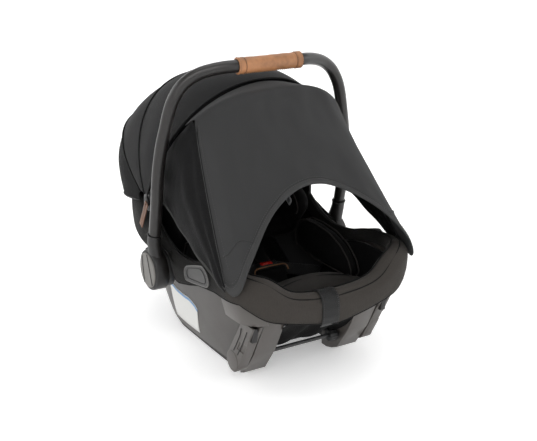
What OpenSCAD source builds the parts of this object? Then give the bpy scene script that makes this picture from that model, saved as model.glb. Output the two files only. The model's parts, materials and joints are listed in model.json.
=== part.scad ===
// Infant car seat: a rocker-bottomed carrier with a swinging carry handle, a folding
// canopy with a pull-down front drape, a padded bucket with a harness, and a pair of
// fold-out anchor arms at the foot end.
// Frame: +Z up from the floor, -Y towards the foot end, +Y towards the head end,
// X across the seat. Millimetres.

/* [Rim and cover] */
// Half the width of the padded rim
rim_half = 200; // [198:0.5:200]
// Where the front corner curve of the rim starts
front_start_y = -230; // [-235:1:-225]
// How far the rim's front curve reaches past its start
front_reach = 103; // [98:1:104]
// Where the rear curve of the rim starts
rear_start_y = 60; // [56:1:62]
// How far the rim's rear curve reaches past its start
rear_reach = 250; // [245:1:252]
// Width of the padded roll along the sides and rear
roll_side = 30; // [28:1:32]
// Width of the padded roll at the front
roll_front = 42; // [38:1:44]

/* [Shell] */
// Thickness of the moulded shell and of the inner tub
wall = 4; // [3:0.5:4.5]
// Distance from the cover's outline in to the outer shell
shell_inset = 14; // [14:0.5:15]
// Distance from the cover's outline in to the inner tub
tub_inset = 20; // [20:0.5:21]
// Half the width of the shell's bottom edge
bottom_half = 122; // [121:0.5:123]

/* [Handle] */
// Height of the handle's axis above the floor
hub_z = 172; // [170:1:174]
// Place of the handle's axis from head to foot
hub_y = 10; // [8:1:12]
// Lean of the handle towards the foot end, in degrees
handle_lean = 12.1; // [8:0.1:16]
// Height of the handle above its axis, to the middle of the tube
handle_reach = 418; // [416:1:424]
// Half the distance between the two legs of the handle
handle_half = 219; // [218:0.5:221]
// Outside diameter of the handle tube
tube_d = 24; // [20:0.5:24]
// Diameter of the grip
grip_d = 33; // [28:0.5:33]
// Length of the grip
grip_l = 142; // [120:1:150]
// Radius of the steel pivot pins of the handle
pin_r = 8; // [6:0.5:9]
// Running clearance of shafts and pins in their bores
run_gap = 0.06; // [0.03:0.01:0.09]

/* [Canopy] */
// Place of the canopy's pivot from head to foot
canopy_y = 66; // [64:1:68]
// Height of the canopy's pivot
canopy_z = 296; // [294:1:298]
// Half the width of the canopy
canopy_half = 203; // [202.5:0.1:203.5]
// Thickness of the canopy cloth with its lining
cloth = 3; // [2:0.5:3]

/* [Foot end] */
// Pivot of the anchor arms from head to foot
arm_y = -205; // [-206:0.5:-204]
// Height of the anchor arms' pivot
arm_z = 46; // [45:0.5:47]
// Radius of the cross shaft that joins the two anchor arms
shaft_r = 4; // [3:0.5:5]

/* [Hidden] */
$fn = 48;

front_power = 3.2;
rear_power = 2.4;
bucket_power = 2.8;

// ---- small helpers ----
function mix(a, b, t) = a + (b - a) * t;
function squircle(u, n) = pow(max(0, 1 - pow(abs(u), n)), 1 / n);
function side_sign(right) = right ? 1 : -1;

// A closed skin through rings of points. Every ring has the same even number of points,
// and its second half runs back beside its first half.
module skin(rings, loop = false) {
    k = len(rings[0]);
    n = len(rings);
    half = k / 2;
    last = (n - 1) * k;
    walls = [for (i = [0 : n - (loop ? 1 : 2)], j = [0 : k - 1])
        let (a = i * k + j, b = i * k + (j + 1) % k, c = ((i + 1) % n) * k + (j + 1) % k,
             d = ((i + 1) % n) * k + j)
        each [[a, c, b], [a, d, c]]];
    caps = loop ? [] : [for (j = [0 : half - 2])
        each [[j, j + 1, k - 1 - j], [j + 1, k - 2 - j, k - 1 - j],
              [last + j, last + k - 1 - j, last + j + 1],
              [last + j + 1, last + k - 1 - j, last + k - 2 - j]]];
    polyhedron(points = [for (r = rings, p = r) p], faces = concat(walls, caps), convexity = 8);
}

// A flat path moved sideways by d
function moved(path, d) = [for (i = [0 : len(path) - 1])
    let (t = path[min(len(path) - 1, i + 1)] - path[max(0, i - 1)])
    path[i] + d * [-t[1], t[0]] / norm(t)];

// The same piece on the left, at -X, or on the right
module on_side(right) {
    if (right) children();
    else mirror([1, 0, 0]) children();
}

// A slab from x0 to x1 with the outline given as [y, z] points
module slab(x0, x1, outline) {
    translate([x0, 0, 0])
        rotate([90, 0, 90])
            linear_extrude(x1 - x0) polygon(outline);
}

// A cylinder along X, centred on y, z, from x0 to x1
module x_rod(x0, x1, y, z, r) {
    translate([x0, y, z])
        rotate([0, 90, 0]) cylinder(r = r, h = x1 - x0);
}

// A round tube along a list of points that lie near one plane across X
module swept_tube(path, r, sides = 12) {
    n = len(path);
    rings = [for (i = [0 : n - 1])
        let (t0 = path[min(n - 1, i + 1)] - path[max(0, i - 1)],
             t = t0 / norm(t0),
             side = cross(t, [0, 1, 0]),
             u = side / norm(side),
             v = cross(t, u))
        [for (j = [0 : sides - 1]) let (a = 360 * j / sides) path[i] + r * (cos(a) * u + sin(a) * v)]];
    skin(rings);
}

// ---- heights along the seat ----
// Crest of the rim, by distance along the sides, and by distance from the middle at the front
function crest_side(y) = lookup(y, [[-290, 252], [-188, 245], [-149, 236], [-105, 222], [-60, 217],
    [-20, 220], [20, 234], [66, 262], [110, 284], [200, 292], [290, 290]]);
function crest_front(x) = lookup(x, [[0, 200], [60, 203], [105, 212], [150, 240], [190, 251]]);
function crest(p) = p[1] < -290 ? crest_front(abs(p[0])) : crest_side(p[1]);

// Lower edge of the cover; it lifts over the handle's hubs
function hem_side(y) = lookup(y, [[-290, 196], [-213, 196], [-147, 186], [-108, 173], [-60, 153],
    [-36, 150], [-35, 211.5], [54, 211.5], [55, 188], [110, 192], [200, 205], [310, 214]]);
function hem_front(x) = lookup(x, [[0, 133], [55, 144], [108, 155], [150, 166], [190, 196]]);
function hem(p) = p[1] < -290 ? hem_front(abs(p[0])) : hem_side(p[1]);

// Bottom of the inner tub, and bottom edge of the outer shell
function tub_floor(y) = lookup(y, [[-292, 168], [-270, 150], [-240, 126], [-225, 112], [-150, 80], [-60, 66],
    [0, 76], [60, 110], [150, 170], [230, 222], [285, 250]]);
function shell_floor(y) = lookup(y, [[-150, 2], [70, 2], [112, 15], [150, 32], [190, 54]]);

// ---- plan of the rim ----
front_steps = 9;
side_steps = 12;
rear_steps = 10;
plan_steps = front_steps + side_steps + rear_steps;

// Point i of the rim's outline from the middle of the foot end round to the middle of the
// head end, moved in by inset
function plan_half(i, inset) =
    i < front_steps ?
        let (t = 90 * (1 - i / front_steps))
        [(rim_half - inset) * pow(cos(t), 2 / front_power),
         front_start_y - (front_reach - inset) * pow(sin(t), 2 / front_power)]
    : i <= front_steps + side_steps ?
        [rim_half - inset, mix(front_start_y, rear_start_y, (i - front_steps) / side_steps)]
    :
        let (t = 90 * (i - front_steps - side_steps) / rear_steps)
        [(rim_half - inset) * pow(cos(t), 2 / rear_power),
         rear_start_y + (rear_reach - inset) * pow(sin(t), 2 / rear_power)];
function plan(i, inset) =
    i <= plan_steps ? plan_half(i, inset)
    : let (p = plan_half(2 * plan_steps - i, inset)) [-p[0], p[1]];

// Half-width of the rim's outline at y, moved in by inset
function half_width(y, inset) =
    (rim_half - inset) * (
        y < front_start_y ? squircle((front_start_y - y) / (front_reach - inset), front_power)
        : y < rear_start_y ? 1
        : squircle((y - rear_start_y) / (rear_reach - inset), rear_power));

// ---- rim cover ----
// Cross-section of the padded cover: [inset, height] from the lower edge over the crest
function cover_skin(low, high, roll) = [
    [8, low], [2, low + 9], [0, mix(low, high, 0.5)], [3, high - 20], [10, high - 8],
    [roll / 2, high], [roll - 7, high - 7], [roll, high - 24]];
function cover_lining(low, high, roll) = [
    [13, low], [8, low + 9], [6, mix(low, high, 0.5)], [9, high - 24], [15, high - 13],
    [roll / 2, high - 6], [roll - 11, high - 13], [roll - 5, high - 24]];
function roll_at(p) = lookup(p[1], [[-333, roll_front], [-290, roll_front], [-230, roll_side]]);
function cover_ring(i) =
    let (p = plan(i, 0), low = hem(p), high = crest(p), roll = roll_at(p),
         out = cover_skin(low, high, roll), lining = cover_lining(low, high, roll))
    concat([for (q = out) let (xy = plan(i, q[0])) [xy[0], xy[1], q[1]]],
           [for (j = [len(lining) - 1 : -1 : 0])
               let (q = lining[j], xy = plan(i, q[0])) [xy[0], xy[1], q[1]]]);

module rim_cover() {
    color("#46423e") difference() {
        skin([for (i = [2 * plan_steps - 1 : -1 : 0]) cover_ring(i)], loop = true);
        for (s = [0, 1]) on_side(s == 1) bracket_space();
    }
}

// ---- outer shell ----
shell_front_top = -290;
shell_front_low = -146;
shell_rear_low = 100;
shell_rear_reach = 90;
function shell_drop(y) = lookup(y, [[-170, 26], [-110, 18]]);
shell_rows = 9;
shell_columns = 22;

// Column c of the shell, 0 at the front edge and 1 at the middle of the head end
straight_share = 0.45;
function shell_top(c) =
    let (half = lookup(c, [[0, 160], [0.06, 172], [0.14, 182], [0.3, rim_half - shell_inset],
                           [1, rim_half - shell_inset]]))
    c < straight_share ?
        [half, mix(shell_front_top, rear_start_y, c / straight_share)]
    :
        let (t = 90 * (c - straight_share) / (1 - straight_share))
        [half * pow(cos(t), 2 / rear_power),
         rear_start_y + (rear_reach - shell_inset) * pow(sin(t), 2 / rear_power)];
function shell_low(c) =
    c < straight_share ?
        [bottom_half, mix(shell_front_low, shell_rear_low, c / straight_share)]
    :
        let (t = 90 * (c - straight_share) / (1 - straight_share))
        [bottom_half * pow(cos(t), 0.77), shell_rear_low + shell_rear_reach * pow(sin(t), 0.77)];
// The sides swell just above the floor; the head end flares out near the rim
function shell_bulge(c, s) = pow(s, lookup(c, [[0, 0.6], [0.45, 0.62], [0.7, 1], [1, 1.45]]));
function shell_point(c, s, out, side) =
    let (top = shell_top(c), low = shell_low(c), w = shell_bulge(c, s),
         turn = c < straight_share ? 0 : 90 * (c - straight_share) / (1 - straight_share))
    [side * (mix(low[0], top[0], w) + out * cos(turn)),
     mix(low[1], top[1], c < straight_share ? s : w) + out * sin(turn),
     mix(shell_floor(low[1]), crest_side(top[1]) - shell_drop(top[1]), s)];
function shell_ring(c, side, s0, s1, rows, out0, out1) = concat(
    [for (j = [0 : rows]) shell_point(c, mix(s0, s1, j / rows), out1, side)],
    [for (j = [rows : -1 : 0]) shell_point(c, mix(s0, s1, j / rows), out0, side)]);

module outer_shell() {
    color("#645f59")
        skin([for (i = [-shell_columns : shell_columns])
            shell_ring(1 - abs(i) / shell_columns, i < 0 ? -1 : 1, 0, 1, shell_rows, -wall, 0)]);
}

// ---- inner tub, and the soft layers that follow it ----
// A point on the tub: across is 0 at the right rim, 90 at the bottom and 180 at the left
// rim; depth is how far it lies inside the tub's outer surface
function tub_point(y, across, depth) =
    let (rim_z = crest_side(y) - 25, drop = max(6, rim_z - tub_floor(y)),
         c = cos(across), s = sin(across), z = rim_z - (drop - depth) * pow(s, 2 / bucket_power),
         x = (half_width(y, tub_inset) - depth) * pow(abs(c), 2 / bucket_power))
    [sign(c) * min(x, shell_room(y, z) - depth), y, z];

// Half-width of the room inside the shell at y and z
function shell_room(y, z) =
    let (low = shell_floor(y), s = min(1, max(0.02, (z - low) / (crest_side(y) - shell_drop(y) - low))),
         w = pow(s, lookup(y, [[60, 0.62], [290, 1.3]])),
         top = lookup(y, [[-290, 155], [-243, 161], [-200, 166], [-150, 172], [-100, 179],
                         [-57, rim_half - shell_inset]]),
         start = mix(shell_rear_low, rear_start_y, w),
         reach = mix(shell_rear_reach, rear_reach - shell_inset, w))
    max(8, mix(bottom_half, top, w) * (y < start ? 1 : squircle((y - start) / (reach - 7), rear_power))
        - wall - 1.5);

// A layer that follows the tub from y0 to y1, between two depths
module tub_layer(y0, y1, across0, across1, depth0, depth1, rows = 12, columns = 14, extra = [[0, 0]]) {
    skin([for (i = [0 : rows])
        let (y = mix(y0, y1, i / rows))
        concat([for (j = [0 : columns]) tub_point(y, mix(across0, across1, j / columns), depth0)],
               [for (j = [columns : -1 : 0])
                   tub_point(y, mix(across0, across1, j / columns),
                       depth1 + lookup(y, extra) * pow(sin(180 * j / columns), 0.6))])]);
}

module seat_tub() {
    color("#2b2b2c") tub_layer(-290, 272, 0, 180, 0, wall - 1, 26, 20);
}
module foam_liner() {
    color("#3a3a3c") tub_layer(-40, 150, 16, 164, wall, wall + 7, 8, 16);
}
module seat_pad() {
    color("#3f3f40") tub_layer(-261, -72, 40, 140, 13, 36, 12, 14,
        [[-261, 4], [-248, 19], [-225, 41], [-205, 46], [-188, 38], [-165, 16], [-140, 4]]);
}
module back_pad() {
    color("#39393b") tub_layer(-60, 165, 52, 128, 13, 33, 8, 10);
}
bolster_outline = [[20, 186], [8, 214], [-18, 226], [-60, 228], [-110, 223], [-150, 209], [-180, 186],
                   [-192, 164], [-186, 152], [-60, 150], [10, 158]];
module hip_bolster(right) {
    color("#3c3c3d") on_side(right) slab(122, 146, bolster_outline);
}

// ---- underside ----
rail_outline = [[-150, 0], [80, 0], [118, 12], [118, 26], [80, 15], [-150, 15]];
rail_in = 104;
rail_out = 116;
module rocker_rail(right) {
    color("#4b4743") on_side(right) slab(rail_in, rail_out, rail_outline);
}

plate_z = 24;
plate_half = 100;
web_outline = [[-148, 28], [168, 28], [168, 150], [150, 138], [60, 96], [0, 66], [-60, 58], [-148, 70]];
plate_outline = [[-plate_half, -148], [plate_half, -148], [plate_half, 105], [72, 168], [-72, 168],
                 [-plate_half, 105]];
dock_bars = [-120, 130];
dock_window = 110;
module base_plate() {
    color("#38363a") {
        difference() {
            translate([0, 0, plate_z]) linear_extrude(4) polygon(plate_outline);
            for (y = dock_bars) translate([-dock_window / 2, y - 22, plate_z - 1]) cube([dock_window, 44, 6]);
            for (y = [-70, -10, 50], x = [-30, 30])
                translate([x, y, plate_z - 1]) cylinder(r = 9, h = 6);
        }
        for (x = [-70, 66]) slab(x, x + 4, web_outline);
        for (x = [-rail_in, plate_half]) translate([x, -148, plate_z - 14]) cube([4, 264, 18]);
    }
}

dock_r = 4;
module dock_bar(y) {
    color("silver") x_rod(-65.8, 65.8, y, 46, dock_r);
}

// ---- foot end: legs and fold-out anchor arms ----
leg_in = 84;
leg_mid = 117;
leg_out = 131;
leg_outline = [[-284, 150], [-243, 68], [-205, 14], [-186, 5], [-168, 0], [-150.3, 0],
               [-150.3, 66], [-225, 98], [-262, 124]];
leg_outer_outline = [[-284, 150], [-243, 68], [-205, 14], [-190, 7], [-190, 60], [-225, 98],
                     [-262, 124]];
// Corner of the moulding between the leg and the cover
corner_low = 146;
function corner_ring(i) =
    let (p = plan(i, 0), top = hem(p) + 12,
         rise = [[30, corner_low], [22, mix(corner_low, top, 0.5)], [17, top]])
    concat([for (q = rise) let (xy = plan(i, q[0])) [xy[0], xy[1], q[1]]],
           [for (j = [2 : -1 : 0]) let (xy = plan(i, rise[j][0] + 3)) [xy[0], xy[1], rise[j][1]]]);
module front_leg(right) {
    color("#6b665f") on_side(right) difference() {
        union() {
            slab(leg_in, leg_mid, leg_outline);
            slab(leg_mid, leg_out, leg_outer_outline);
            skin([for (i = [front_steps + 1 : -1 : 4]) corner_ring(i)]);
        }
        x_rod(leg_in - 1, leg_out + 1, arm_y, arm_z, shaft_r + run_gap);
    }
}

arm_in = 134;
arm_out = 156;
boss_r = 22;
jaw_in = 140;
jaw_out = 151;
arm_outline = [[-283, 142], [-243, 69], [-226, 40], [-186, 52], [-196, 72], [-242, 142]];
module anchor_arm(right) {
    color("#6f6a63") on_side(right) difference() {
        union() {
            slab(arm_in, arm_out, arm_outline);
            x_rod(arm_in, arm_out, arm_y, arm_z, boss_r);
        }
        slab(jaw_in - 0.2, jaw_out + 0.2, [[-300, 108], [-230, 108], [-230, 150], [-300, 150]]);
        slab(arm_out - 1.5, arm_out + 1, [[-262, 98], [-234, 98], [-222, 78], [-250, 78]]);
    }
}
module anchor_jaw(right) {
    color("#9a9a9c") on_side(right) difference() {
        slab(jaw_in, jaw_out, [[-272, 108], [-236, 108], [-246, 138], [-277, 138]]);
        slab(jaw_in - 1, jaw_out + 1, [[-263, 122], [-255, 122], [-259, 142], [-267, 142]]);
    }
}
module cross_shaft() {
    color("silver") x_rod(-arm_in, arm_in, arm_y, arm_z, shaft_r);
}
knob_x = 62;
module arm_release_knob() {
    color("#2c2c2e") difference() {
        union() {
            x_rod(knob_x, knob_x + 18, arm_y, arm_z, 12);
            for (a = [0 : 30 : 330])
                translate([knob_x + 2, arm_y, arm_z])
                    rotate([a, 0, 0]) translate([0, 0, 11.5]) rotate([0, 90, 0]) cylinder(r = 1.5, h = 14);
        }
        x_rod(knob_x - 1, knob_x + 19, arm_y, arm_z, shaft_r + run_gap);
    }
}

// ---- rear release lever ----
lever_y = 266;
lever_z = 196;
lever_half = 42;
module rear_lever_bracket() {
    color("#38363a") for (s = [0, 1]) on_side(s == 1) {
        slab(lever_half + 2, lever_half + 8, [[231, 178], [252, 178], [274, 190], [274, 204],
                                              [245, 204]]);
        x_rod(lever_half - 8, lever_half + 2, lever_y, lever_z, 3);
    }
}
module rear_lever() {
    color("#2f2f31") difference() {
        union() {
            slab(-lever_half, lever_half, [[262, 202], [270, 202], [270, 190], [254, 150], [246, 134],
                                           [240, 136], [260, 190]]);
            x_rod(-lever_half, lever_half, lever_y, lever_z, 7);
        }
        for (s = [0, 1]) on_side(s == 1) x_rod(lever_half - 9, lever_half + 1, lever_y, lever_z, 3 + run_gap);
    }
}

// ---- handle hubs ----
hub_r = 42;
hub_in = 200.5;
hub_out = 228;
flange_in = 186.2;
cap_r = 36;
cap_out = 231;
button_angle = 50;
button_r = 6;
module hub_flange(right) {
    color("#262627") on_side(right) difference() {
        x_rod(flange_in, hub_in - 0.3, hub_y, hub_z, 38.5);
        x_rod(flange_in - 1, hub_in, hub_y, hub_z, pin_r);
    }
}
module hub_pin(right) {
    color("silver") on_side(right) x_rod(flange_in, hub_out - 4, hub_y, hub_z, pin_r);
}

// The handle's own frame: origin on the axis, Z along the leg, leaning to the foot end
module handle_frame() {
    translate([0, hub_y, hub_z]) rotate([handle_lean, 0, 0]) children();
}

socket_top = 78;
module handle_socket(right) {
    color("#2e2d2e") on_side(right) handle_frame() difference() {
        union() {
            x_rod(hub_in, hub_out, 0, 0, hub_r);
            hull() {
                translate([handle_half - 1, 0, 30]) cylinder(r = 17, h = 1);
                translate([handle_half, 0, socket_top - 1]) cylinder(r = 13.5, h = 1);
            }
        }
        x_rod(hub_in - 1, hub_out - 4 + 0.2, 0, 0, pin_r + run_gap);
        rotate([-button_angle, 0, 0]) translate([hub_in + 14, 0, 29]) cylinder(r = button_r + 0.15, h = 30);
        x_rod(hub_out - 2, hub_out + 8, 0, 0, cap_r + 0.2);
    }
}
module hub_cap(right) {
    color("#6a6661") on_side(right) handle_frame() difference() {
        x_rod(hub_out - 2, cap_out, 0, 0, cap_r);
        for (s = [-1, 1])
            rotate([20, 0, 0]) translate([cap_out - 1.4, s * 24 - 4, -40]) cube([3, 8, 80]);
    }
}
module handle_button(right) {
    color("#1c1c1d") on_side(right) handle_frame()
        rotate([-button_angle, 0, 0]) translate([hub_in + 14, 0, 33]) cylinder(r = button_r, h = 12.5);
}

// Centre line of the handle tube, from the right leg to the middle of the grip: the legs draw
// in and bow back a little below the top bar
handle_leg = [[handle_half, 0, socket_top + 0.1], [handle_half - 0.4, 0, 150], [handle_half - 1.4, 4, 190],
              [214.5, 9, 222], [208.5, 15, 262], [200, 19, 301], [194.5, 22, 325], [186.5, 25, 349],
              [173, 27, 372], [157, 26, 388], [136, 22, 401], [112, 14, 410], [90, 6, 415.5],
              [72, 0, handle_reach], [30, 0, handle_reach]];
handle_path = concat(handle_leg,
    [for (i = [len(handle_leg) - 1 : -1 : 0]) let (p = handle_leg[i]) [-p[0], p[1], p[2]]]);
tube_wall = 2;
module handle_tube() {
    color("#6b6863") handle_frame() difference() {
        swept_tube(handle_path, tube_d / 2, 16);
        swept_tube(concat([[handle_half, 0, socket_top - 1]], handle_path, [[-handle_half, 0, socket_top - 1]]),
                   tube_d / 2 - tube_wall, 10);
    }
}
module leather_grip() {
    color("#9c6236") handle_frame() difference() {
        x_rod(-grip_l / 2, grip_l / 2, 0, handle_reach, grip_d / 2);
        swept_tube(handle_path, tube_d / 2 + run_gap, 16);
    }
}

// ---- canopy ----
front_bow_angle = 64.2;
mid_bow_angle = 117.5;
rear_bow_angle = 150;
hem_angle = 190;
// Reach and squareness of the canopy's arch at an angle up from the foot end
function arch_reach(a) = lookup(a, [[54.6, 298], [60, 276], [64.2, 277.5], [75, 270], [90, 263], [104, 259],
    [117.5, 259], [125, 261], [134, 266], [142, 272], [150, 280], [160, 279], [170, 275],
    [177, 271], [190, 262]]);
function arch_square(a) = lookup(a, [[54.6, 2.9], [62, 2.25], [64.2, 2.17], [117.5, 2.38],
    [150, 3], [170, 3.2], [190, 2.9]]);
arch_ends = 2;
// Point across the arch at angle a; across runs from 0 at the right pivot to 180 at the left
function arch(a, across, inset, half) =
    let (n = arch_square(a), c = cos(across), s = (arch_reach(a) - inset) * pow(sin(across), 2 / n))
    [half * sign(c) * pow(abs(c), 2 / n), canopy_y - s * cos(a), canopy_z + s * sin(a)];

module gore(a0, a1, rows, columns = 24) {
    skin([for (i = [0 : rows])
        let (a = mix(a0, a1, i / rows))
        concat([for (j = [0 : columns])
                   arch(a, mix(arch_ends, 180 - arch_ends, j / columns), cloth, canopy_half - cloth)],
               [for (j = [columns : -1 : 0])
                   arch(a, mix(arch_ends, 180 - arch_ends, j / columns), 0, canopy_half)])]);
}
seam_gap = 0.15;
module canopy_gore_front() {
    color("#3b3c3d") gore(front_bow_angle, mid_bow_angle - seam_gap, 9);
}
module canopy_gore_rear() {
    color("#3b3c3d") gore(mid_bow_angle + seam_gap, rear_bow_angle - seam_gap, 6);
}
module canopy_back() {
    color("#3e3d3c") gore(rear_bow_angle + seam_gap, hem_angle, 8);
}

wire_r = 1.6;
eye_r = 20;
pivot_r = 4;
eye_t = 3;
// A bow of round wire with a flat eye on the pivot at each end
module bow(a, eye_x) {
    steps = 36;
    half = eye_x + eye_t / 2;
    root = [half, canopy_y - 12 * cos(a), canopy_z + 12 * sin(a)];
    wire = [for (i = [0 : steps]) arch(a, mix(5, 175, i / steps), 7, half)];
    swept_tube(concat([root], wire, [[-half, root[1], root[2]]]), wire_r, 8);
    for (s = [0, 1]) on_side(s == 1) difference() {
        x_rod(eye_x, eye_x + eye_t, canopy_y, canopy_z, eye_r);
        x_rod(eye_x - 1, eye_x + eye_t + 1, canopy_y, canopy_z, pivot_r + run_gap);
    }
}
front_eye = 195.8;
mid_eye = 192.4;
rear_eye = 189;
module canopy_bow_front() {
    color("#55565a") bow(front_bow_angle + 1, front_eye);
}
module canopy_bow_mid() {
    color("#55565a") bow(mid_bow_angle, mid_eye);
}
module canopy_bow_rear() {
    color("#55565a") bow(rear_bow_angle, rear_eye);
}

bracket_in = 181;
bracket_out = 187;
bracket_low = 250.5;
module canopy_mount(right) {
    color("#262627") on_side(right) {
        slab(bracket_in, bracket_out, [[54, bracket_low], [78, bracket_low], [78, 300], [72, 308], [60, 308],
                                       [54, 300]]);
        x_rod(bracket_out, 199.6, canopy_y, canopy_z, pivot_r);
        x_rod(199.2, 203.2, canopy_y, canopy_z, 10);
    }
}
// Slit in the cover that the canopy's bracket passes through
module bracket_space() {
    slab(bracket_in - 0.6, bracket_out + 0.6, [[53, 246], [79, 246], [79, 320], [53, 320]]);
}

// ---- front drape ----
crease_angle = 54.6;
tuck_angle = 62.8;
drape_top_half = 158;
// Hem of the drape's arched opening, from the middle out: share across, then the place. Its end
// wraps round the corner of the rim in a rounded tip
drape_hem = [[0, 0, -234, 380], [0.15, 28, -237, 377], [0.32, 61, -243, 364], [0.49, 94, -256, 346],
             [0.61, 118, -270, 329], [0.73, 142, -286, 307], [0.84, 168, -300, 276], [0.90, 181, -305, 256],
             [0.94, 188, -305, 238], [0.97, 194, -299, 224], [0.985, 198, -287, 217], [1, 201, -270, 222]];
function drape_foot(u) =
    let (x = lookup(abs(u), [for (h = drape_hem) [h[0], h[1]]]))
    [u < 0 ? -x : x, lookup(abs(u), [for (h = drape_hem) [h[0], h[2]]]),
     lookup(abs(u), [for (h = drape_hem) [h[0], h[3]]])];
// How far the drape sags back from the straight line between crease and hem, halfway down
drape_sag = 8;
// Point of an arch at x across
function arch_at(a, x, inset) =
    let (s = (arch_reach(a) - inset) * squircle(x / canopy_half, arch_square(a)))
    [x, canopy_y - s * cos(a), canopy_z + s * sin(a)];
drape_t = 2.4;
function drape_ring(u) =
    let (top = drape_top_half * u,
         tuck = arch_at(tuck_angle, top * 0.98, 5), crease = arch_at(crease_angle, top, 0),
         foot = drape_foot(u),
         outer = [tuck, mix(tuck, crease, 0.75), mix(crease, foot, 0.03),
                  for (v = [0.2, 0.4, 0.6, 0.8]) mix(crease, foot, v) + [0, drape_sag * 4 * v * (1 - v), 0],
                  foot],
         inner = [for (p = outer) p + [-0.006 * p[0], 0.8 * drape_t, -0.5 * drape_t]])
    concat(outer, [for (j = [len(inner) - 1 : -1 : 0]) inner[j]]);
drape_half_columns = [0.08, 0.15, 0.235, 0.32, 0.405, 0.49, 0.61, 0.73, 0.84, 0.9, 0.94, 0.97, 0.985, 1];
drape_columns = concat([for (i = [len(drape_half_columns) - 1 : -1 : 0]) -drape_half_columns[i]], [0],
                       drape_half_columns);
module canopy_drape() {
    color("#424344") skin([for (u = drape_columns) drape_ring(u)]);
}

// Mesh panel that closes each side between the canopy and the drape
side_mesh_low = [[202, 30, 334], [203, -20, 312], [203.4, -82, 285], [203.4, -140, 261],
                 [203.4, -200, 237], [203, -238, 224], [202.6, -266, 218]];
side_mesh_crease = [197, 184, drape_top_half + 3];
side_mesh_seam_at = [0, 0, 0.03, 0.27, 0.52, 0.76, 0.97];
side_mesh_swell = [3, 7, 18, 18, 14, 9, 2];
function side_mesh_seam(v) =
    let (crease = arch_at(crease_angle, drape_top_half, 0),
         foot = drape_foot(1))
    mix(crease, foot, v) + [2.5, 1 + drape_sag * 4 * v * (1 - v), 0];
side_mesh_t = 2;
function side_mesh_ring(i) =
    let (low = side_mesh_low[i],
         top = i < 3 ? arch_at(crease_angle, side_mesh_crease[i], 0) : side_mesh_seam(side_mesh_seam_at[i]),
         outer = concat([for (w = [0, 0.3, 0.6, 0.85])
             mix(low, top, w) + 4 * w * (1 - w) * side_mesh_swell[i] * [0.85, -0.1, 0.5]], [top]),
         n = len(outer))
    concat(outer, [for (j = [n - 1 : -1 : 0]) outer[j] - [side_mesh_t, 0, 0.6]]);
module side_mesh(right) {
    color("#232324") on_side(right) skin([for (i = [0 : len(side_mesh_low) - 1]) side_mesh_ring(i)]);
}

// Leather pull at the foot of the canopy's seam
module pull_tab() {
    color("#9c6236") translate([-206.2, 60, 292]) rotate([30, 0, 0]) difference() {
        translate([0, -7, -62]) cube([2, 14, 66]);
        translate([-3, 0, 0]) rotate([0, 90, 0]) cylinder(r = 2.5, h = 6);
    }
}

// ---- headrest, on rails along the back ----
back_angle = 35;
back_y = 60;
back_z = 110;
headrest_lift = 47;
headrest_half = 147;
headrest_l = 112;
wing_t = 30;
wing_h = 114;
module back_frame() {
    translate([0, back_y, back_z]) rotate([back_angle, 0, 0]) children();
}
module headrest() {
    color("#2d2d2f") back_frame() translate([0, 24, headrest_lift]) difference() {
        union() {
            translate([-headrest_half, 0, 0]) cube([2 * headrest_half, headrest_l, 20]);
            for (x = [-headrest_half, headrest_half - wing_t]) translate([x, 0, 0]) cube([wing_t, headrest_l, wing_h]);
        }
        for (y = [0, headrest_l]) translate([-headrest_half - 1, y, wing_h]) rotate([0, 90, 0])
            cylinder(r = 30, h = 2 * headrest_half + 2);
    }
}

// ---- harness ----
strap_t = 2;
strap_x = 42;
module strap_run(from, to, width) {
    hull() {
        translate(from) cube([width, 4, strap_t], center = true);
        translate(to) cube([width, 4, strap_t], center = true);
    }
}
module shoulder_strap(right) {
    color("#29292a") on_side(right) strap_run([strap_x, -44, 118], [14, -55.7, 160], 24);
}
module shoulder_pad(right) {
    color("#333335") on_side(right) hull() {
        translate([strap_x, 56, 153]) rotate([back_angle, 0, 0]) cube([44, 10, 12], center = true);
        translate([strap_x, -30, 115]) rotate([12, 0, 0]) cube([44, 10, 12], center = true);
    }
}
buckle_y = -76;
buckle_z = 120;
module buckle() {
    color("#2a2a2c") difference() {
        translate([-22, buckle_y, buckle_z - 10]) cube([44, 18, 56]);
        translate([-13.3, buckle_y + 3.7, buckle_z + 34]) cube([26.6, 10.6, 20]);
    }
}
module buckle_button() {
    color("#c8312b") translate([-13, buckle_y + 4, buckle_z + 38.5]) cube([26, 10, 9.5]);
}
module crotch_pad() {
    color("#343436") hull() {
        translate([0, -106, 121]) rotate([-20, 0, 0]) cube([66, 11, 8], center = true);
        translate([0, -85, 160]) rotate([-20, 0, 0]) cube([78, 11, 8], center = true);
    }
}
// Webbing that runs from the adjuster over the middle of the front rim
strap_half = 19;
strap_shift = -20;
module adjuster_strap() {
    front = front_start_y - front_reach;
    path = [for (q = cover_skin(hem_front(0), crest_front(45), roll_front)) [front + q[0], q[1]]];
    inner = moved(path, 0.8);
    outer = moved(path, 0.8 + strap_t);
    color("#222223") slab(strap_shift - strap_half, strap_shift + strap_half,
        concat(outer, [for (i = [len(inner) - 1 : -1 : 0]) inner[i]]));
}
module adjuster_button() {
    color("#4a4a4c") translate([0, -271.8, 161.3]) rotate([-50, 0, 0]) cylinder(r = 8, h = 6);
}

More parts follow.
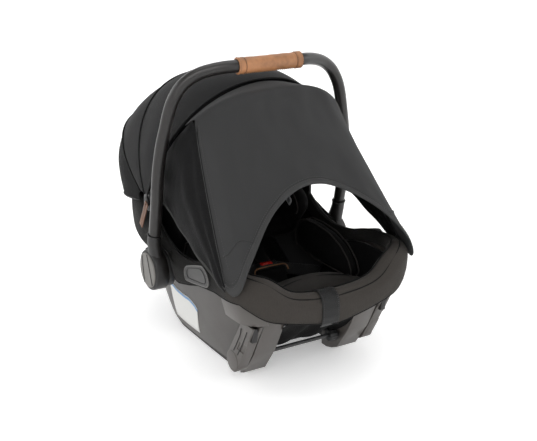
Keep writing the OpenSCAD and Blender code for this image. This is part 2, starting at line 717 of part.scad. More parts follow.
// ---- belt guides and labels on the sides ----
guide_out = 203.4;
guide_outline = [[-118, 189], [-185, 201], [-198, 206], [-202, 216], [-194, 230], [-184, 236],
                 [-171, 237], [-120, 220], [-106, 211], [-103, 200], [-107, 191]];
module belt_guide(right) {
    color("#8b8985") on_side(right) difference() {
        slab(rim_half + 0.3, guide_out, guide_outline);
        slab(guide_out - 1.2, guide_out + 1, [for (q = guide_outline) mix([-152, 213], q, 0.86)]);
    }
}
module side_labels() {
    color("#e8e6e2") for (s = [0, 1]) on_side(s == 1)
        skin([for (i = [0 : 5]) shell_ring(mix(0.4, 0.2, i / 5), 1, 0.14, 0.62, 5, 0.4, 1)]);
}

outer_shell();
seat_tub();
foam_liner();
base_plate();
rocker_rail(false);  // rocker_rail_l
rocker_rail(true);  // rocker_rail_r
front_leg(false);  // front_leg_l
front_leg(true);  // front_leg_r
anchor_arm(false);  // anchor_arm_l
anchor_arm(true);  // anchor_arm_r
anchor_jaw(false);  // anchor_jaw_l
anchor_jaw(true);  // anchor_jaw_r
cross_shaft();
arm_release_knob();
dock_bar(dock_bars[0]);  // dock_bar_front
dock_bar(dock_bars[1]);  // dock_bar_rear
rear_lever();
rear_lever_bracket();
hub_flange(false);  // hub_flange_l
hub_flange(true);  // hub_flange_r
hub_pin(false);  // hub_pin_l
hub_pin(true);  // hub_pin_r
handle_socket(false);  // handle_socket_l
handle_socket(true);  // handle_socket_r
hub_cap(false);  // hub_cap_l
hub_cap(true);  // hub_cap_r
handle_button(false);  // handle_button_l
handle_button(true);  // handle_button_r
handle_tube();
leather_grip();
canopy_mount(false);  // canopy_mount_l
canopy_mount(true);  // canopy_mount_r
canopy_bow_front();
canopy_bow_mid();
canopy_bow_rear();
canopy_gore_front();
canopy_gore_rear();
canopy_back();
canopy_drape();
side_mesh(false);  // side_mesh_l
side_mesh(true);  // side_mesh_r
pull_tab();
rim_cover();
seat_pad();
back_pad();
hip_bolster(false);  // hip_bolster_l
hip_bolster(true);  // hip_bolster_r
headrest();
shoulder_strap(false);  // shoulder_strap_l
shoulder_strap(true);  // shoulder_strap_r
shoulder_pad(false);  // shoulder_pad_l
shoulder_pad(true);  // shoulder_pad_r
buckle();
buckle_button();
crotch_pad();
adjuster_strap();
adjuster_button();
belt_guide(false);  // belt_guide_l
belt_guide(true);  // belt_guide_r
side_labels();
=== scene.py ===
import json
from math import cos, exp, pi, radians, sin, sqrt
import bpy
import bmesh
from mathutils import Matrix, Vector, noise

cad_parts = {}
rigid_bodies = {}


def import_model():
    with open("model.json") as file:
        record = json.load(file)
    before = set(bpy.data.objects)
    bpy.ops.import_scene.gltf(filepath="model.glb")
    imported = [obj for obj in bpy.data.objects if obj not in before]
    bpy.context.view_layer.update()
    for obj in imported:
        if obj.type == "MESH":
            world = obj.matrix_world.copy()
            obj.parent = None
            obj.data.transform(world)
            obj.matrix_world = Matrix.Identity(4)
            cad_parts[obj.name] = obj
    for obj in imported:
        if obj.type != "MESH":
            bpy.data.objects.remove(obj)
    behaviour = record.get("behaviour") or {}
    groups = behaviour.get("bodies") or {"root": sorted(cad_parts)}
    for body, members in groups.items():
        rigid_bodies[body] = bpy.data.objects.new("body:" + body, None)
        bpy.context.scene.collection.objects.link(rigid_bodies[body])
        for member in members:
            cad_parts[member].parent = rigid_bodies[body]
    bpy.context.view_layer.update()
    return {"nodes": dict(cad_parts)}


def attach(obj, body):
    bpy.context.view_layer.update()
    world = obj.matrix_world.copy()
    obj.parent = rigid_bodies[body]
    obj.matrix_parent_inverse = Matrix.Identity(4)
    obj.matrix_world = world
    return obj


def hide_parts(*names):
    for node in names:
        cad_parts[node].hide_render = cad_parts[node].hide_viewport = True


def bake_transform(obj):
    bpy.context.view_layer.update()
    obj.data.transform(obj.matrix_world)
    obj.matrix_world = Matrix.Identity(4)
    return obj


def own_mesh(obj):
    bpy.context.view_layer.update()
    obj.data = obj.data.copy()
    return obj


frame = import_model()
NODES = frame["nodes"]
MM = 0.001


# ---------------------------------------------------------------- materials
def rgba(c):
    return (c[0], c[1], c[2], 1.0)


class Mat:
    """A node material built round one Principled shader, with helpers for its colour and bump."""

    def __init__(self, name, rough=0.5, metal=0.0, sheen=0.0, coat=0.0, specular=0.5):
        self.m = bpy.data.materials.new(name)
        self.m.use_nodes = True
        self.t = self.m.node_tree
        self.t.nodes.clear()
        self.out = self.t.nodes.new("ShaderNodeOutputMaterial")
        self.b = self.t.nodes.new("ShaderNodeBsdfPrincipled")
        self.link(self.b.outputs[0], self.out.inputs[0])
        self.b.inputs["Roughness"].default_value = rough
        self.b.inputs["Metallic"].default_value = metal
        self.b.inputs["Sheen Weight"].default_value = sheen
        self.b.inputs["Sheen Roughness"].default_value = 0.45
        self.b.inputs["Coat Weight"].default_value = coat
        self.b.inputs["Specular IOR Level"].default_value = specular
        self.co = self.n("ShaderNodeTexCoord").outputs["Object"]
        self.normal = None

    def n(self, kind, inputs=(), **props):
        """A node with its properties set, and its inputs either linked to a socket or set to a value."""
        node = self.t.nodes.new(kind)
        for k, v in props.items():
            setattr(node, k, v)
        for k, v in dict(inputs).items():
            if hasattr(v, "links"):
                self.link(v, node.inputs[k])
            else:
                node.inputs[k].default_value = v
        return node

    def link(self, a, b):
        self.t.links.new(a, b)

    def mapped(self, scale, rot=(0, 0, 0)):
        scale = scale if hasattr(scale, "__len__") else (scale,) * 3
        return self.n("ShaderNodeMapping", {"Scale": scale, "Rotation": [radians(a) for a in rot],
                                            "Vector": self.co}).outputs[0]

    def noise(self, scale, detail=3.0, rough=0.55, vec=None):
        return self.n("ShaderNodeTexNoise", {"Scale": scale, "Detail": detail, "Roughness": rough,
                                             "Vector": vec or self.co}).outputs["Fac"]

    def wave(self, scale, direction="X", vec=None):
        return self.n("ShaderNodeTexWave",
                      {"Scale": scale, "Distortion": 0.0, "Detail": 1.0, "Vector": vec or self.co},
                      bands_direction=direction, wave_profile="SIN").outputs["Fac"]

    def voronoi(self, scale, feature="F1"):
        return self.n("ShaderNodeTexVoronoi", {"Scale": scale, "Vector": self.co},
                      feature=feature).outputs["Distance"]

    def math(self, op, a, b):
        return self.n("ShaderNodeMath", {0: a, 1: b}, operation=op).outputs[0]

    def blend(self, a, b, share):
        """A mix of two values, with the given share of the first."""
        return self.math("ADD", self.math("MULTIPLY", a, share), self.math("MULTIPLY", b, 1 - share))

    def colour(self, fac, stops):
        ramp = self.n("ShaderNodeValToRGB")
        e = ramp.color_ramp.elements
        e[0].position, e[0].color = stops[0][0], rgba(stops[0][1])
        e[1].position, e[1].color = stops[-1][0], rgba(stops[-1][1])
        for p, c in stops[1:-1]:
            e.new(p).color = rgba(c)
        self.link(fac, ramp.inputs[0])
        self.link(ramp.outputs[0], self.b.inputs["Base Color"])

    def rough(self, fac, lo, hi):
        node = self.n("ShaderNodeMapRange", {"To Min": lo, "To Max": hi, "Value": fac})
        self.link(node.outputs[0], self.b.inputs["Roughness"])

    def bump(self, height, strength, distance):
        """Adds a layer of relief on top of the layers before it."""
        below = {} if self.normal is None else {"Normal": self.normal}
        node = self.n("ShaderNodeBump",
                      {"Strength": strength, "Distance": distance, "Height": height, **below})
        self.normal = node.outputs[0]
        self.link(self.normal, self.b.inputs["Normal"])


def scaled(c, k):
    return tuple(min(1.0, v * k) for v in c)


def cloth_mat(name, c, pitch=0.0009, sheen=0.02, melange=0.12, rough=0.85, wrinkle=0.35, specular=0.12):
    """Plain weave: two crossed thread waves, mottled dye, and soft unevenness in the cloth."""
    m = Mat(name, rough=rough, sheen=sheen, specular=specular)
    big = m.noise(9, 4)
    fine = m.noise(900, 2)
    mix = m.blend(big, fine, 0.55)
    m.colour(mix, [(0.3, scaled(c, 1 - melange)), (0.52, c), (0.74, scaled(c, 1 + melange * 1.6))])
    k = 1 / pitch / 3.1
    warp = m.wave(k, "X", m.mapped(1, (12, 8, 41)))
    weft = m.wave(k, "Z", m.mapped(1, (12, 8, 41)))
    m.bump(m.math("MULTIPLY", warp, weft), 0.35, 0.0004)
    m.bump(m.noise(55, 4, 0.6), wrinkle, 0.0012)
    m.rough(big, rough - 0.06, min(1, rough + 0.08))
    return m.m


def cover_mat(name, dark, light):
    """Stretch knit of the rim cover, with painted shade: near black along the sides, where the canopy shades
    them, grey-brown round the foot end.
    """
    m = Mat(name, rough=0.88, sheen=0.05, specular=0.15)
    streak = m.noise(420, 3, 0.7, m.mapped((1, 1, 0.35), (0, 25, 0)))
    where = m.n("ShaderNodeSeparateXYZ", {0: m.co})
    # painted shade: the colour darkens from the foot end back along the sides
    painted_shade_fade = m.n("ShaderNodeMapRange", {"From Min": -0.200, "From Max": -0.315, "To Min": 0.0, "To Max": 1.0,
                                      "Value": where.outputs["Y"]}, interpolation_type="SMOOTHSTEP")
    mix = m.blend(streak, painted_shade_fade.outputs[0], 0.3)
    m.colour(mix, [(0.06, scaled(dark, 0.8)), (0.20, dark), (0.80, light), (0.94, scaled(light, 1.2))])
    m.bump(m.math("MULTIPLY", m.wave(520, "Z", m.mapped(1, (0, 0, 0))), m.wave(430, "DIAGONAL")), 0.3, 0.0005)
    m.bump(m.noise(60, 3), 0.25, 0.0012)
    return m.m


def mesh_mat(name, c):
    """Open knit mesh: dark holes in a hexagon-like net."""
    m = Mat(name, rough=0.6, sheen=0.01, specular=0.10)
    cells = m.voronoi(620)
    m.colour(cells, [(0.15, scaled(c, 0.25)), (0.42, c), (0.8, scaled(c, 2.2))])
    m.bump(cells, 0.7, 0.0006)
    m.bump(m.noise(38, 4), 0.45, 0.002)
    return m.m


def plastic_mat(name, c, rough=0.45, grain=0.12, grain_scale=900, vary=0.05, coat=0.0):
    """Moulded plastic: a fine grain and slightly uneven gloss."""
    m = Mat(name, rough=rough, coat=coat, specular=0.5)
    big = m.noise(7, 4)
    m.colour(big, [(0.3, scaled(c, 1 - vary)), (0.7, scaled(c, 1 + vary))])
    m.bump(m.noise(grain_scale, 2), grain, 0.00025)
    m.rough(m.noise(26, 5), rough - 0.05, rough + 0.07)
    return m.m


def metal_mat(name, c, rough):
    """Plated metal, brushed along X."""
    m = Mat(name, rough=rough, metal=1.0)
    streak = m.noise(60, 3, 0.6, m.mapped((1, 40, 40)))
    m.colour(streak, [(0.3, scaled(c, 0.86)), (0.7, scaled(c, 1.08))])
    m.rough(streak, rough - 0.07, rough + 0.1)
    m.bump(streak, 0.15, 0.0001)
    return m.m


def painted_mat(name, c, rough=0.36):
    """Satin metallic coat: fine flake in the colour, and a faint orange peel."""
    m = Mat(name, rough=rough, metal=0.25, coat=0.12)
    m.b.inputs["Coat Roughness"].default_value = 0.22
    flake = m.noise(2600, 1)
    big = m.noise(6, 3)
    mix = m.blend(flake, big, 0.5)
    m.colour(mix, [(0.35, scaled(c, 0.88)), (0.65, scaled(c, 1.12))])
    m.bump(m.noise(340, 2), 0.05, 0.0004)
    m.rough(m.noise(30, 4), rough - 0.05, rough + 0.08)
    return m.m


def leather_mat(name, c):
    """Oiled leather: pores, and a tone that wanders from dark to light."""
    m = Mat(name, rough=0.5, coat=0.08, specular=0.5)
    pores = m.voronoi(520, "DISTANCE_TO_EDGE")
    tone = m.noise(28, 5, 0.6)
    m.colour(tone, [(0.28, scaled(c, 0.55)), (0.5, c), (0.74, scaled(c, 1.35))])
    m.bump(pores, 0.5, 0.0006)
    m.bump(m.noise(90, 4), 0.35, 0.0007)
    m.rough(tone, 0.4, 0.62)
    return m.m


def webbing_mat(name, c):
    """Woven strap: ribs across it with a twill slant."""
    m = Mat(name, rough=0.40, sheen=0.01, specular=0.28)
    tone = m.noise(120, 3)
    m.colour(tone, [(0.3, scaled(c, 0.75)), (0.7, scaled(c, 1.35))])
    m.bump(m.wave(260, "DIAGONAL", m.mapped((1, 1, 1))), 0.5, 0.0005)
    m.bump(m.wave(500, "X"), 0.3, 0.0003)
    return m.m


M = {
    "canopy": cloth_mat("canopy_weave", (0.0140, 0.0140, 0.0143), sheen=0.01, melange=0.10, rough=0.66,
                        specular=0.12),
    # painted shade: the rear bag is a darker copy of the canopy cloth, for the shade on its side
    "bag": cloth_mat("bag_weave", (0.0040, 0.0040, 0.0042), sheen=0.0, melange=0.12, rough=0.62,
                     specular=0.05),
    "drape": cloth_mat("drape_weave", (0.031, 0.031, 0.0313), sheen=0.02, melange=0.08, rough=0.7,
                       wrinkle=0.2, specular=0.15),
    "piping": cloth_mat("piping_cloth", (0.006, 0.006, 0.006), pitch=0.0006, sheen=0.03, wrinkle=0.1),
    "binding": cloth_mat("binding_tape", (0.042, 0.042, 0.042), pitch=0.0007, sheen=0.05, wrinkle=0.1),
    "mesh": mesh_mat("side_net", (0.0035, 0.0035, 0.0037)),
    "net_binding": cloth_mat("net_binding", (0.030, 0.030, 0.029), pitch=0.0007, sheen=0.05, wrinkle=0.15),
    "lining": cloth_mat("black_lining", (0.0035, 0.0035, 0.0036), pitch=0.0008, sheen=0.01, wrinkle=0.2,
                        specular=0.08),
    # the cover's dark colour is painted shade along its sides
    "cover": cover_mat("cover_knit", (0.0072, 0.0068, 0.0062), (0.036, 0.032, 0.0285)),
    "seat": cloth_mat("seat_knit", (0.0040, 0.0039, 0.0040), pitch=0.0012, sheen=0.01, melange=0.2,
                      wrinkle=0.4),
    "seat_b": cloth_mat("seat_knit_grey", (0.0290, 0.0268, 0.0250), pitch=0.0012, sheen=0.02, melange=0.2,
                        wrinkle=0.4),
    "thread": plastic_mat("stitch_thread", (0.050, 0.049, 0.047), rough=0.7, grain=0.3),
    "thread_dark": plastic_mat("stitch_thread_dark", (0.012, 0.012, 0.012), rough=0.7, grain=0.3),
    "tan": leather_mat("tan_edge", (0.22, 0.105, 0.042)),
    "leather": leather_mat("grip_leather", (0.335, 0.150, 0.062)),
    "leather_dark": leather_mat("leather_band", (0.12, 0.048, 0.020)),
    "shell": plastic_mat("shell_plastic", (0.041, 0.0360, 0.0322), rough=0.42, grain=0.10, vary=0.04),
    # painted light: a lighter copy of the shell plastic, for the legs and latch arms, which get less light
    "arm": plastic_mat("arm_plastic", (0.064, 0.057, 0.0515), rough=0.4, grain=0.08, vary=0.04),
    "black": plastic_mat("black_plastic", (0.006, 0.006, 0.0063), rough=0.5, grain=0.2, grain_scale=600),
    "hub": plastic_mat("hub_plastic", (0.0050, 0.0040, 0.0038), rough=0.42, grain=0.1),
    "cap": plastic_mat("cap_plastic", (0.105, 0.098, 0.088), rough=0.36, grain=0.06),
    "tube": painted_mat("handle_coat", (0.016, 0.0145, 0.0138), rough=0.30),
    "joint": plastic_mat("joint_ring", (0.006, 0.006, 0.006), rough=0.35, grain=0.05),
    "steel": metal_mat("plated_steel", (0.50, 0.50, 0.51), rough=0.25),
    "wire": painted_mat("bow_coat", (0.03, 0.03, 0.031), rough=0.4),
    "foam": plastic_mat("bead_foam", (0.015, 0.015, 0.0155), rough=0.85, grain=0.8, grain_scale=260),
    "web": webbing_mat("harness_web", (0.006, 0.006, 0.0062)),
    "web_grey": webbing_mat("adjuster_web", (0.0030, 0.0030, 0.0031)),
    "red": plastic_mat("red_button", (0.60, 0.030, 0.020), rough=0.25, grain=0.04, coat=0.4),
    "guide": plastic_mat("guide_plastic", (0.014, 0.0128, 0.012), rough=0.4, grain=0.08),
    "guide_lip": plastic_mat("guide_lip", (0.090, 0.088, 0.084), rough=0.35, grain=0.05),
    "label": plastic_mat("label_film", (0.60, 0.60, 0.58), rough=0.35, grain=0.03, vary=0.02),
    "label_blue": plastic_mat("label_band", (0.10, 0.24, 0.46), rough=0.35, grain=0.03, vary=0.02),
    "emblem": plastic_mat("emblem_film", (0.55, 0.56, 0.57), rough=0.4, grain=0.2),
    "emblem_dark": plastic_mat("emblem_inner", (0.12, 0.125, 0.13), rough=0.5, grain=0.2),
    # painted shade: dark lines drawn in grooves, in recesses and round the hub's face
    "groove_shade": plastic_mat("painted_groove_shade", (0.006, 0.006, 0.0065), rough=0.6, grain=0.1),
}


# ---------------------------------------------------------------- shape of the object (mm)
def steps(n, end=True):
    """Even shares 0, 1/n, 2/n... up to 1, or up to the one before it."""
    return [k / n for k in range(n + 1 if end else n)]


def turns(n):
    """n angles once round a circle."""
    return [2 * pi * k / n for k in range(n)]


def lerp(a, b, t):
    return a + (b - a) * t


def lookup(x, table):
    """Straight-line table of (x, value) rows."""
    if x <= table[0][0]:
        return table[0][1]
    for (x0, y0), (x1, y1) in zip(table, table[1:]):
        if x <= x1:
            return lerp(y0, y1, (x - x0) / (x1 - x0))
    return table[-1][1]


def smooth_lookup(x, table):
    """The same table with its corners rounded: a Catmull-Rom curve through the points."""
    n = len(table)
    if x <= table[0][0]:
        return table[0][1]
    if x >= table[-1][0]:
        return table[-1][1]
    for i in range(n - 1):
        x0, y0 = table[i]
        x1, y1 = table[i + 1]
        if x <= x1:
            t = (x - x0) / (x1 - x0)
            m0 = (y1 - table[i - 1][1]) / (x1 - table[i - 1][0]) if i > 0 else (y1 - y0) / (x1 - x0)
            m1 = (table[i + 2][1] - y0) / (table[i + 2][0] - x0) if i + 2 < n else (y1 - y0) / (x1 - x0)
            h = x1 - x0
            return ((2 * t ** 3 - 3 * t * t + 1) * y0 + (t ** 3 - 2 * t * t + t) * h * m0
                    + (-2 * t ** 3 + 3 * t * t) * y1 + (t ** 3 - t * t) * h * m1)


def squircle(u, n):
    """Height at u of a rounded square of power n."""
    return max(0.0, 1 - abs(u) ** n) ** (1 / n)


def sgn(v):
    return -1.0 if v < 0 else 1.0


RIM_HALF, FRONT_Y, FRONT_REACH, REAR_Y, REAR_REACH = 200.0, -230.0, 103.0, 60.0, 250.0
SHELL_INSET, TUB_INSET, WALL, BOTTOM_HALF = 14.0, 20.0, 4.0, 122.0
FRONT_POWER, REAR_POWER, BUCKET_POWER = 3.2, 2.4, 2.8
CORNER_Y = -290.0  # ahead of this the rim's heights follow X, behind it they follow Y
CREST_SIDE = [[-290, 252], [-188, 245], [-149, 236], [-105, 222], [-60, 217], [-20, 220], [20, 234],
              [66, 262],
              [110, 284], [200, 292], [290, 290]]
CREST_FRONT = [[0, 200], [60, 203], [105, 212], [150, 240], [190, 251]]
HEM_SIDE = [[-290, 196], [-213, 196], [-147, 186], [-108, 173], [-60, 160], [-44, 163], [-26, 211.5],
            [45, 211.5], [62, 190], [110, 192], [200, 205], [310, 214]]
HEM_FRONT = [[0, 133], [55, 144], [108, 155], [150, 166], [190, 196]]


def crest_side(y):
    return lookup(y, CREST_SIDE)


def rim_point(s):
    """Plan of the rim: s from 0 at the middle of the foot end, round by +X, to 1 at the middle of the head end,
    and on to 2 back at the foot end by -X. Returns a function of the inset."""
    right = s <= 1
    u = s if right else 2 - s
    k = 1 if right else -1
    a, b = 0.29, 0.62  # where the straight side starts and ends

    def at(inset):
        if u < a:
            t = pi / 2 * (1 - u / a)
            x = (RIM_HALF - inset) * abs(cos(t)) ** (2 / FRONT_POWER)
            y = FRONT_Y - (FRONT_REACH - inset) * abs(sin(t)) ** (2 / FRONT_POWER)
        elif u <= b:
            x, y = RIM_HALF - inset, lerp(FRONT_Y, REAR_Y, (u - a) / (b - a))
        else:
            t = pi / 2 * (u - b) / (1 - b)
            x = (RIM_HALF - inset) * abs(cos(t)) ** (2 / REAR_POWER)
            y = REAR_Y + (REAR_REACH - inset) * abs(sin(t)) ** (2 / REAR_POWER)
        return x * k, y
    return at


def crest_at(x, y):
    """Height of the top of the cover's roll."""
    return smooth_lookup(abs(x), CREST_FRONT) if y < CORNER_Y else smooth_lookup(y, CREST_SIDE)


def hem_at(x, y):
    """Height of the cover's lower edge."""
    return smooth_lookup(abs(x), HEM_FRONT) if y < CORNER_Y else lookup(y, HEM_SIDE)


def roll_at(y):
    """Width of the cover's roll over the rim."""
    return lookup(y, [[-333, 42], [CORNER_Y, 42], [-230, 30]])


def tub_floor(y):
    return lookup(y,
                  [[-292, 168], [-270, 150], [-240, 126], [-225, 112], [-150, 80], [-60, 66], [0, 76],
                   [60, 110],
                   [150, 170], [230, 222], [285, 250]])


def shell_floor(y):
    return lookup(y, [[-150, 2], [70, 2], [112, 15], [150, 32], [190, 54]])


def shell_drop(y):
    return lookup(y, [[-170, 26], [-110, 18]])


def half_width(y, inset):
    f = squircle((FRONT_Y - y) / (FRONT_REACH - inset), FRONT_POWER) if y < FRONT_Y else (
        1 if y < REAR_Y else squircle((y - REAR_Y) / (REAR_REACH - inset), REAR_POWER))
    return (RIM_HALF - inset) * f


STRAIGHT = 0.45


def shell_point(c, s, out, side):
    """The shell's outside: c from the front edge of the side to the middle of the back, s from base to top."""
    half = smooth_lookup(c, [[0, 160], [0.06, 172], [0.14, 182], [0.3, 186], [1, 186]])
    if c < STRAIGHT:
        u = c / STRAIGHT
        top, low, turn = (half, lerp(-290, REAR_Y, u)), (BOTTOM_HALF, lerp(-146, 100, u)), 0.0
    else:
        t = pi / 2 * (c - STRAIGHT) / (1 - STRAIGHT)
        ct, st = max(0, cos(t)), sin(t)
        top = (half * ct ** (2 / REAR_POWER), REAR_Y + (REAR_REACH - SHELL_INSET) * st ** (2 / REAR_POWER))
        low = (BOTTOM_HALF * ct ** 0.77, 100 + 90 * st ** 0.77)
        turn = t
    w = s ** lookup(c, [[0, 0.6], [0.45, 0.62], [0.7, 1], [1, 1.45]]) if s > 0 else 0.0
    z0, z1 = shell_floor(low[1]), crest_side(top[1]) - shell_drop(top[1])
    return (side * (lerp(low[0], top[0], w) + out * cos(turn)),
            lerp(low[1], top[1], s if c < STRAIGHT else w) + out * sin(turn),
            lerp(z0, z1, s))


CANOPY_Y, CANOPY_Z, CANOPY_HALF = 66.0, 296.0, 203.0
FRONT_A, MID_A, REAR_A, HEM_A, CREASE_A, TUCK_A = 64.2, 117.5, 150.0, 190.0, 54.6, 62.8
REACH = [[54.6, 298], [60, 276], [64.2, 277.5], [75, 270], [90, 263], [104, 259], [117.5, 259], [125, 261],
         [134, 266], [142, 272], [150, 280], [160, 279], [170, 275], [177, 271], [190, 262]]
SQUARE = [[54.6, 2.9], [62, 2.25], [64.2, 2.17], [117.5, 2.38], [150, 3], [170, 3.2], [190, 2.9]]


def arch(a, across, inset=0.0):
    """A point of the canopy's arch at angle a; across is 0 at the right pivot and 180 at the left."""
    n, c = lookup(a, SQUARE), cos(radians(across))
    s = (lookup(a, REACH) - inset) * max(0.0, sin(radians(across))) ** (2 / n)
    return (CANOPY_HALF * sgn(c) * abs(c) ** (2 / n), CANOPY_Y - s * cos(radians(a)),
            CANOPY_Z + s * sin(radians(a)))


def arch_x(a, x, inset=0.0):
    """The same arch, at a given X."""
    s = (lookup(a, REACH) - inset) * squircle(x / CANOPY_HALF, lookup(a, SQUARE))
    return (x, CANOPY_Y - s * cos(radians(a)), CANOPY_Z + s * sin(radians(a)))


def arch_line(a, inset, edge=2, n=90):
    """A line across the canopy at angle a, stopping short of the pivots by edge degrees."""
    return [arch(a, lerp(edge, 180 - edge, u), inset) for u in steps(n)]


DRAPE_TOP, DRAPE_SAG = 158.0, 8.0
HEM = [[0, 0, -234, 380], [0.15, 28, -237, 377], [0.32, 61, -243, 364], [0.49, 94, -256, 346],
       [0.61, 118, -270, 329],
       [0.73, 142, -286, 307], [0.84, 168, -300, 276], [0.90, 181, -305, 256], [0.94, 188, -305, 238],
       [0.97, 194, -299, 224], [0.985, 198, -287, 217], [1, 201, -270, 222]]


def drape_foot(u):
    """A point of the hem at share u across; its end wraps round the corner of the rim."""
    x, y, z = (smooth_lookup(abs(u), [[h[0], h[k]] for h in HEM]) for k in (1, 2, 3))
    return (sgn(u) * x, y, z)


def mixp(a, b, t):
    return tuple(lerp(p, q, t) for p, q in zip(a, b))


def addp(a, b):
    return tuple(p + q for p, q in zip(a, b))


def spline(rows, t):
    """Catmull-Rom step between the middle two of four points."""
    return tuple(0.5 * ((2 * b) + (c - a) * t + (2 * a - 5 * b + 4 * c - d) * t * t
                        + (3 * b - a - 3 * c + d) * t ** 3)
                 for a, b, c, d in zip(*rows))


def catmull(table, x):
    """Smooth curve through rows of values at 0, 1, 2..."""
    n = len(table) - 1
    x = min(max(x, 0), n)
    i = min(int(x), n - 1)
    return spline([table[max(0, min(n, i + k))] for k in (-1, 0, 1, 2)], x - i)


def smooth_loop(pts, n):
    """Closed smooth curve through 2-D points."""
    m = len(pts)
    return [spline([pts[(i + k) % m] for k in (-1, 0, 1, 2)], t) for i in range(m) for t in steps(n, False)]


def respace(pts, step):
    """The same path with points at even distances."""
    P = [Vector(p) for p in pts]
    out, carry = [P[0]], 0.0
    for a, b in zip(P, P[1:]):
        length = (b - a).length
        d = step - carry
        while d < length:
            out.append(a.lerp(b, d / length))
            d += step
        carry = length - (d - step)
    out.append(P[-1])
    return [tuple(p) for p in out]


HUB_Y, HUB_Z, LEAN = 10.0, 172.0, radians(12.1)


def handle_pt(x, y, z):
    """A point given in the handle's frame."""
    return (x, HUB_Y + y * cos(LEAN) - z * sin(LEAN),
            HUB_Z + y * sin(LEAN) + z * cos(LEAN))


BACK = radians(35)


def back_pt(x, y, z):
    """A point given on the reclined back: y runs up it, z out from it."""
    return (x, 60 + y * cos(BACK) - z * sin(BACK), 110 + y * sin(BACK) + z * cos(BACK))


# ---------------------------------------------------------------- mesh helpers
def smooth_shade(ob):
    for p in ob.data.polygons:
        p.use_smooth = True


def new_mesh(name, verts, faces, mat, body, slot, stands_for=()):
    """A smooth-shaded mesh from points in millimetres, with its body and the nodes it stands for; its slot is
    not used.
    """
    me = bpy.data.meshes.new(name)
    me.from_pydata([(x * MM, y * MM, z * MM) for x, y, z in verts], [], faces)
    me.validate()
    ob = bpy.data.objects.new(name, me)
    bpy.context.scene.collection.objects.link(ob)
    me.materials.append(mat)
    smooth_shade(ob)
    bm = bmesh.new()
    bm.from_mesh(me)
    bmesh.ops.recalc_face_normals(bm, faces=bm.faces)
    bm.to_mesh(me)
    bm.free()
    if body:
        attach(ob, body)
    if stands_for:
        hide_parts(*stands_for)
    return ob


def quads(n, k, close_u=False, close_v=True, base=0):
    """Faces between n rows of k points. close_u joins the last row to the first, close_v each row's ends."""
    return [(base + i * k + j, base + i * k + (j + 1) % k, base + (i + 1) % n * k + (j + 1) % k,
             base + (i + 1) % n * k + j)
            for i in range(n if close_u else n - 1) for j in range(k if close_v else k - 1)]


def flatten(rows):
    return [p for r in rows for p in r]


def grid(name, rows, mat, body, slot, stands_for=(), close_u=False, close_v=False):
    """A quad sheet through rows of points."""
    return new_mesh(name, flatten(rows), quads(len(rows), len(rows[0]), close_u, close_v), mat, body, slot,
                    stands_for)


def thick(ob, t, offset=-1.0):
    m = ob.modifiers.new("thickness", "SOLIDIFY")
    m.thickness, m.offset = t * MM, offset
    m.use_even_offset = False


def sub(ob):
    m = ob.modifiers.new("smooth", "SUBSURF")
    m.levels = m.render_levels = 1


def bevel(ob, w, angle):
    m = ob.modifiers.new("edge", "BEVEL")
    m.width, m.segments, m.limit_method = w * MM, 2, "ANGLE"
    m.angle_limit = radians(angle)
    m.harden_normals = False


def bake(ob):
    """Applies an object's modifiers to its mesh."""
    dg = bpy.context.evaluated_depsgraph_get()
    me = bpy.data.meshes.new_from_object(ob.evaluated_get(dg))
    old = ob.data
    ob.modifiers.clear()
    ob.data = me
    bpy.data.meshes.remove(old)


def tube(name, pts, r, mat, body, slot, sides=10, closed=False, stands_for=(), flat=1.0):
    """A round cord along points, with a frame carried along so that it doesn't twist."""
    P = [Vector(p) for p in pts]
    n = len(P)
    tang = []
    for i in range(n):
        a = P[(i - 1) % n] if closed or i > 0 else P[0]
        b = P[(i + 1) % n] if closed or i < n - 1 else P[-1]
        t = b - a
        tang.append(t.normalized() if t.length > 1e-9 else Vector((0, 0, 1)))
    u = tang[0].orthogonal().normalized()
    rows = []
    for p, t in zip(P, tang):
        u = (u - t * u.dot(t)).normalized()
        v = t.cross(u)
        rows.append([tuple(p + r * (cos(a) * u + flat * sin(a) * v)) for a in turns(sides)])
    faces = quads(n, sides, close_u=closed)
    if not closed:
        faces.append(tuple(range(sides - 1, -1, -1)))
        faces.append(tuple((n - 1) * sides + j for j in range(sides)))
    return new_mesh(name, flatten(rows), faces, mat, body, slot, stands_for)


def lathe(name, profile, mat, body, slot, side, segments, place, stands_for=()):
    """A turned shape about an axis along X: profile is a list of (x, radius), and place puts each point."""
    rows = [[place(side * x, r * cos(a), r * sin(a)) for a in turns(segments)] for x, r in profile]
    grid(name, rows, mat, body, slot, stands_for, close_v=True)


def stitches(name, pts, mat, body, slot, length=2.6, gap=1.6, r=0.35):
    """A run of small thread stitches along a path, as one mesh."""
    P = [Vector(p) for p in pts]
    verts, faces = [], []
    cum = [0.0]
    for a, b in zip(P, P[1:]):
        cum.append(cum[-1] + (b - a).length)

    def at(d):
        for i in range(len(cum) - 1):
            if d <= cum[i + 1]:
                return P[i].lerp(P[i + 1], (d - cum[i]) / max(1e-9, cum[i + 1] - cum[i]))
        return P[-1]
    d = 0.5
    while d + length < cum[-1]:
        a, b = at(d), at(d + length)
        t = (b - a).normalized()
        u = t.orthogonal().normalized()
        v = t.cross(u)
        base = len(verts)
        for q, rr in ((a, 0.4 * r), (a.lerp(b, 0.3), r), (a.lerp(b, 0.7), r), (b, 0.4 * r)):
            verts += [tuple(q + rr * (cos(w) * u + sin(w) * v)) for w in turns(5)]
        faces += quads(4, 5, base=base)
        faces.append(tuple(base + 4 - k for k in range(5)))
        faces.append(tuple(base + 15 + k for k in range(5)))
        d += length + gap
    return new_mesh(name, verts, faces, mat, body, slot)


def wob(p, k, amount, seed=0.0):
    """Soft, repeatable unevenness."""
    return noise.noise(Vector((p[0] * k + seed, p[1] * k - seed, p[2] * k + 0.5 * seed))) * amount


# ---------------------------------------------------------------- camera, lights, floor
CAMERA_AT, CAMERA_AZ, CAMERA_EL, LENS = (-0.970, -1.710, 0.920), -30.7, 19.1, 67.04

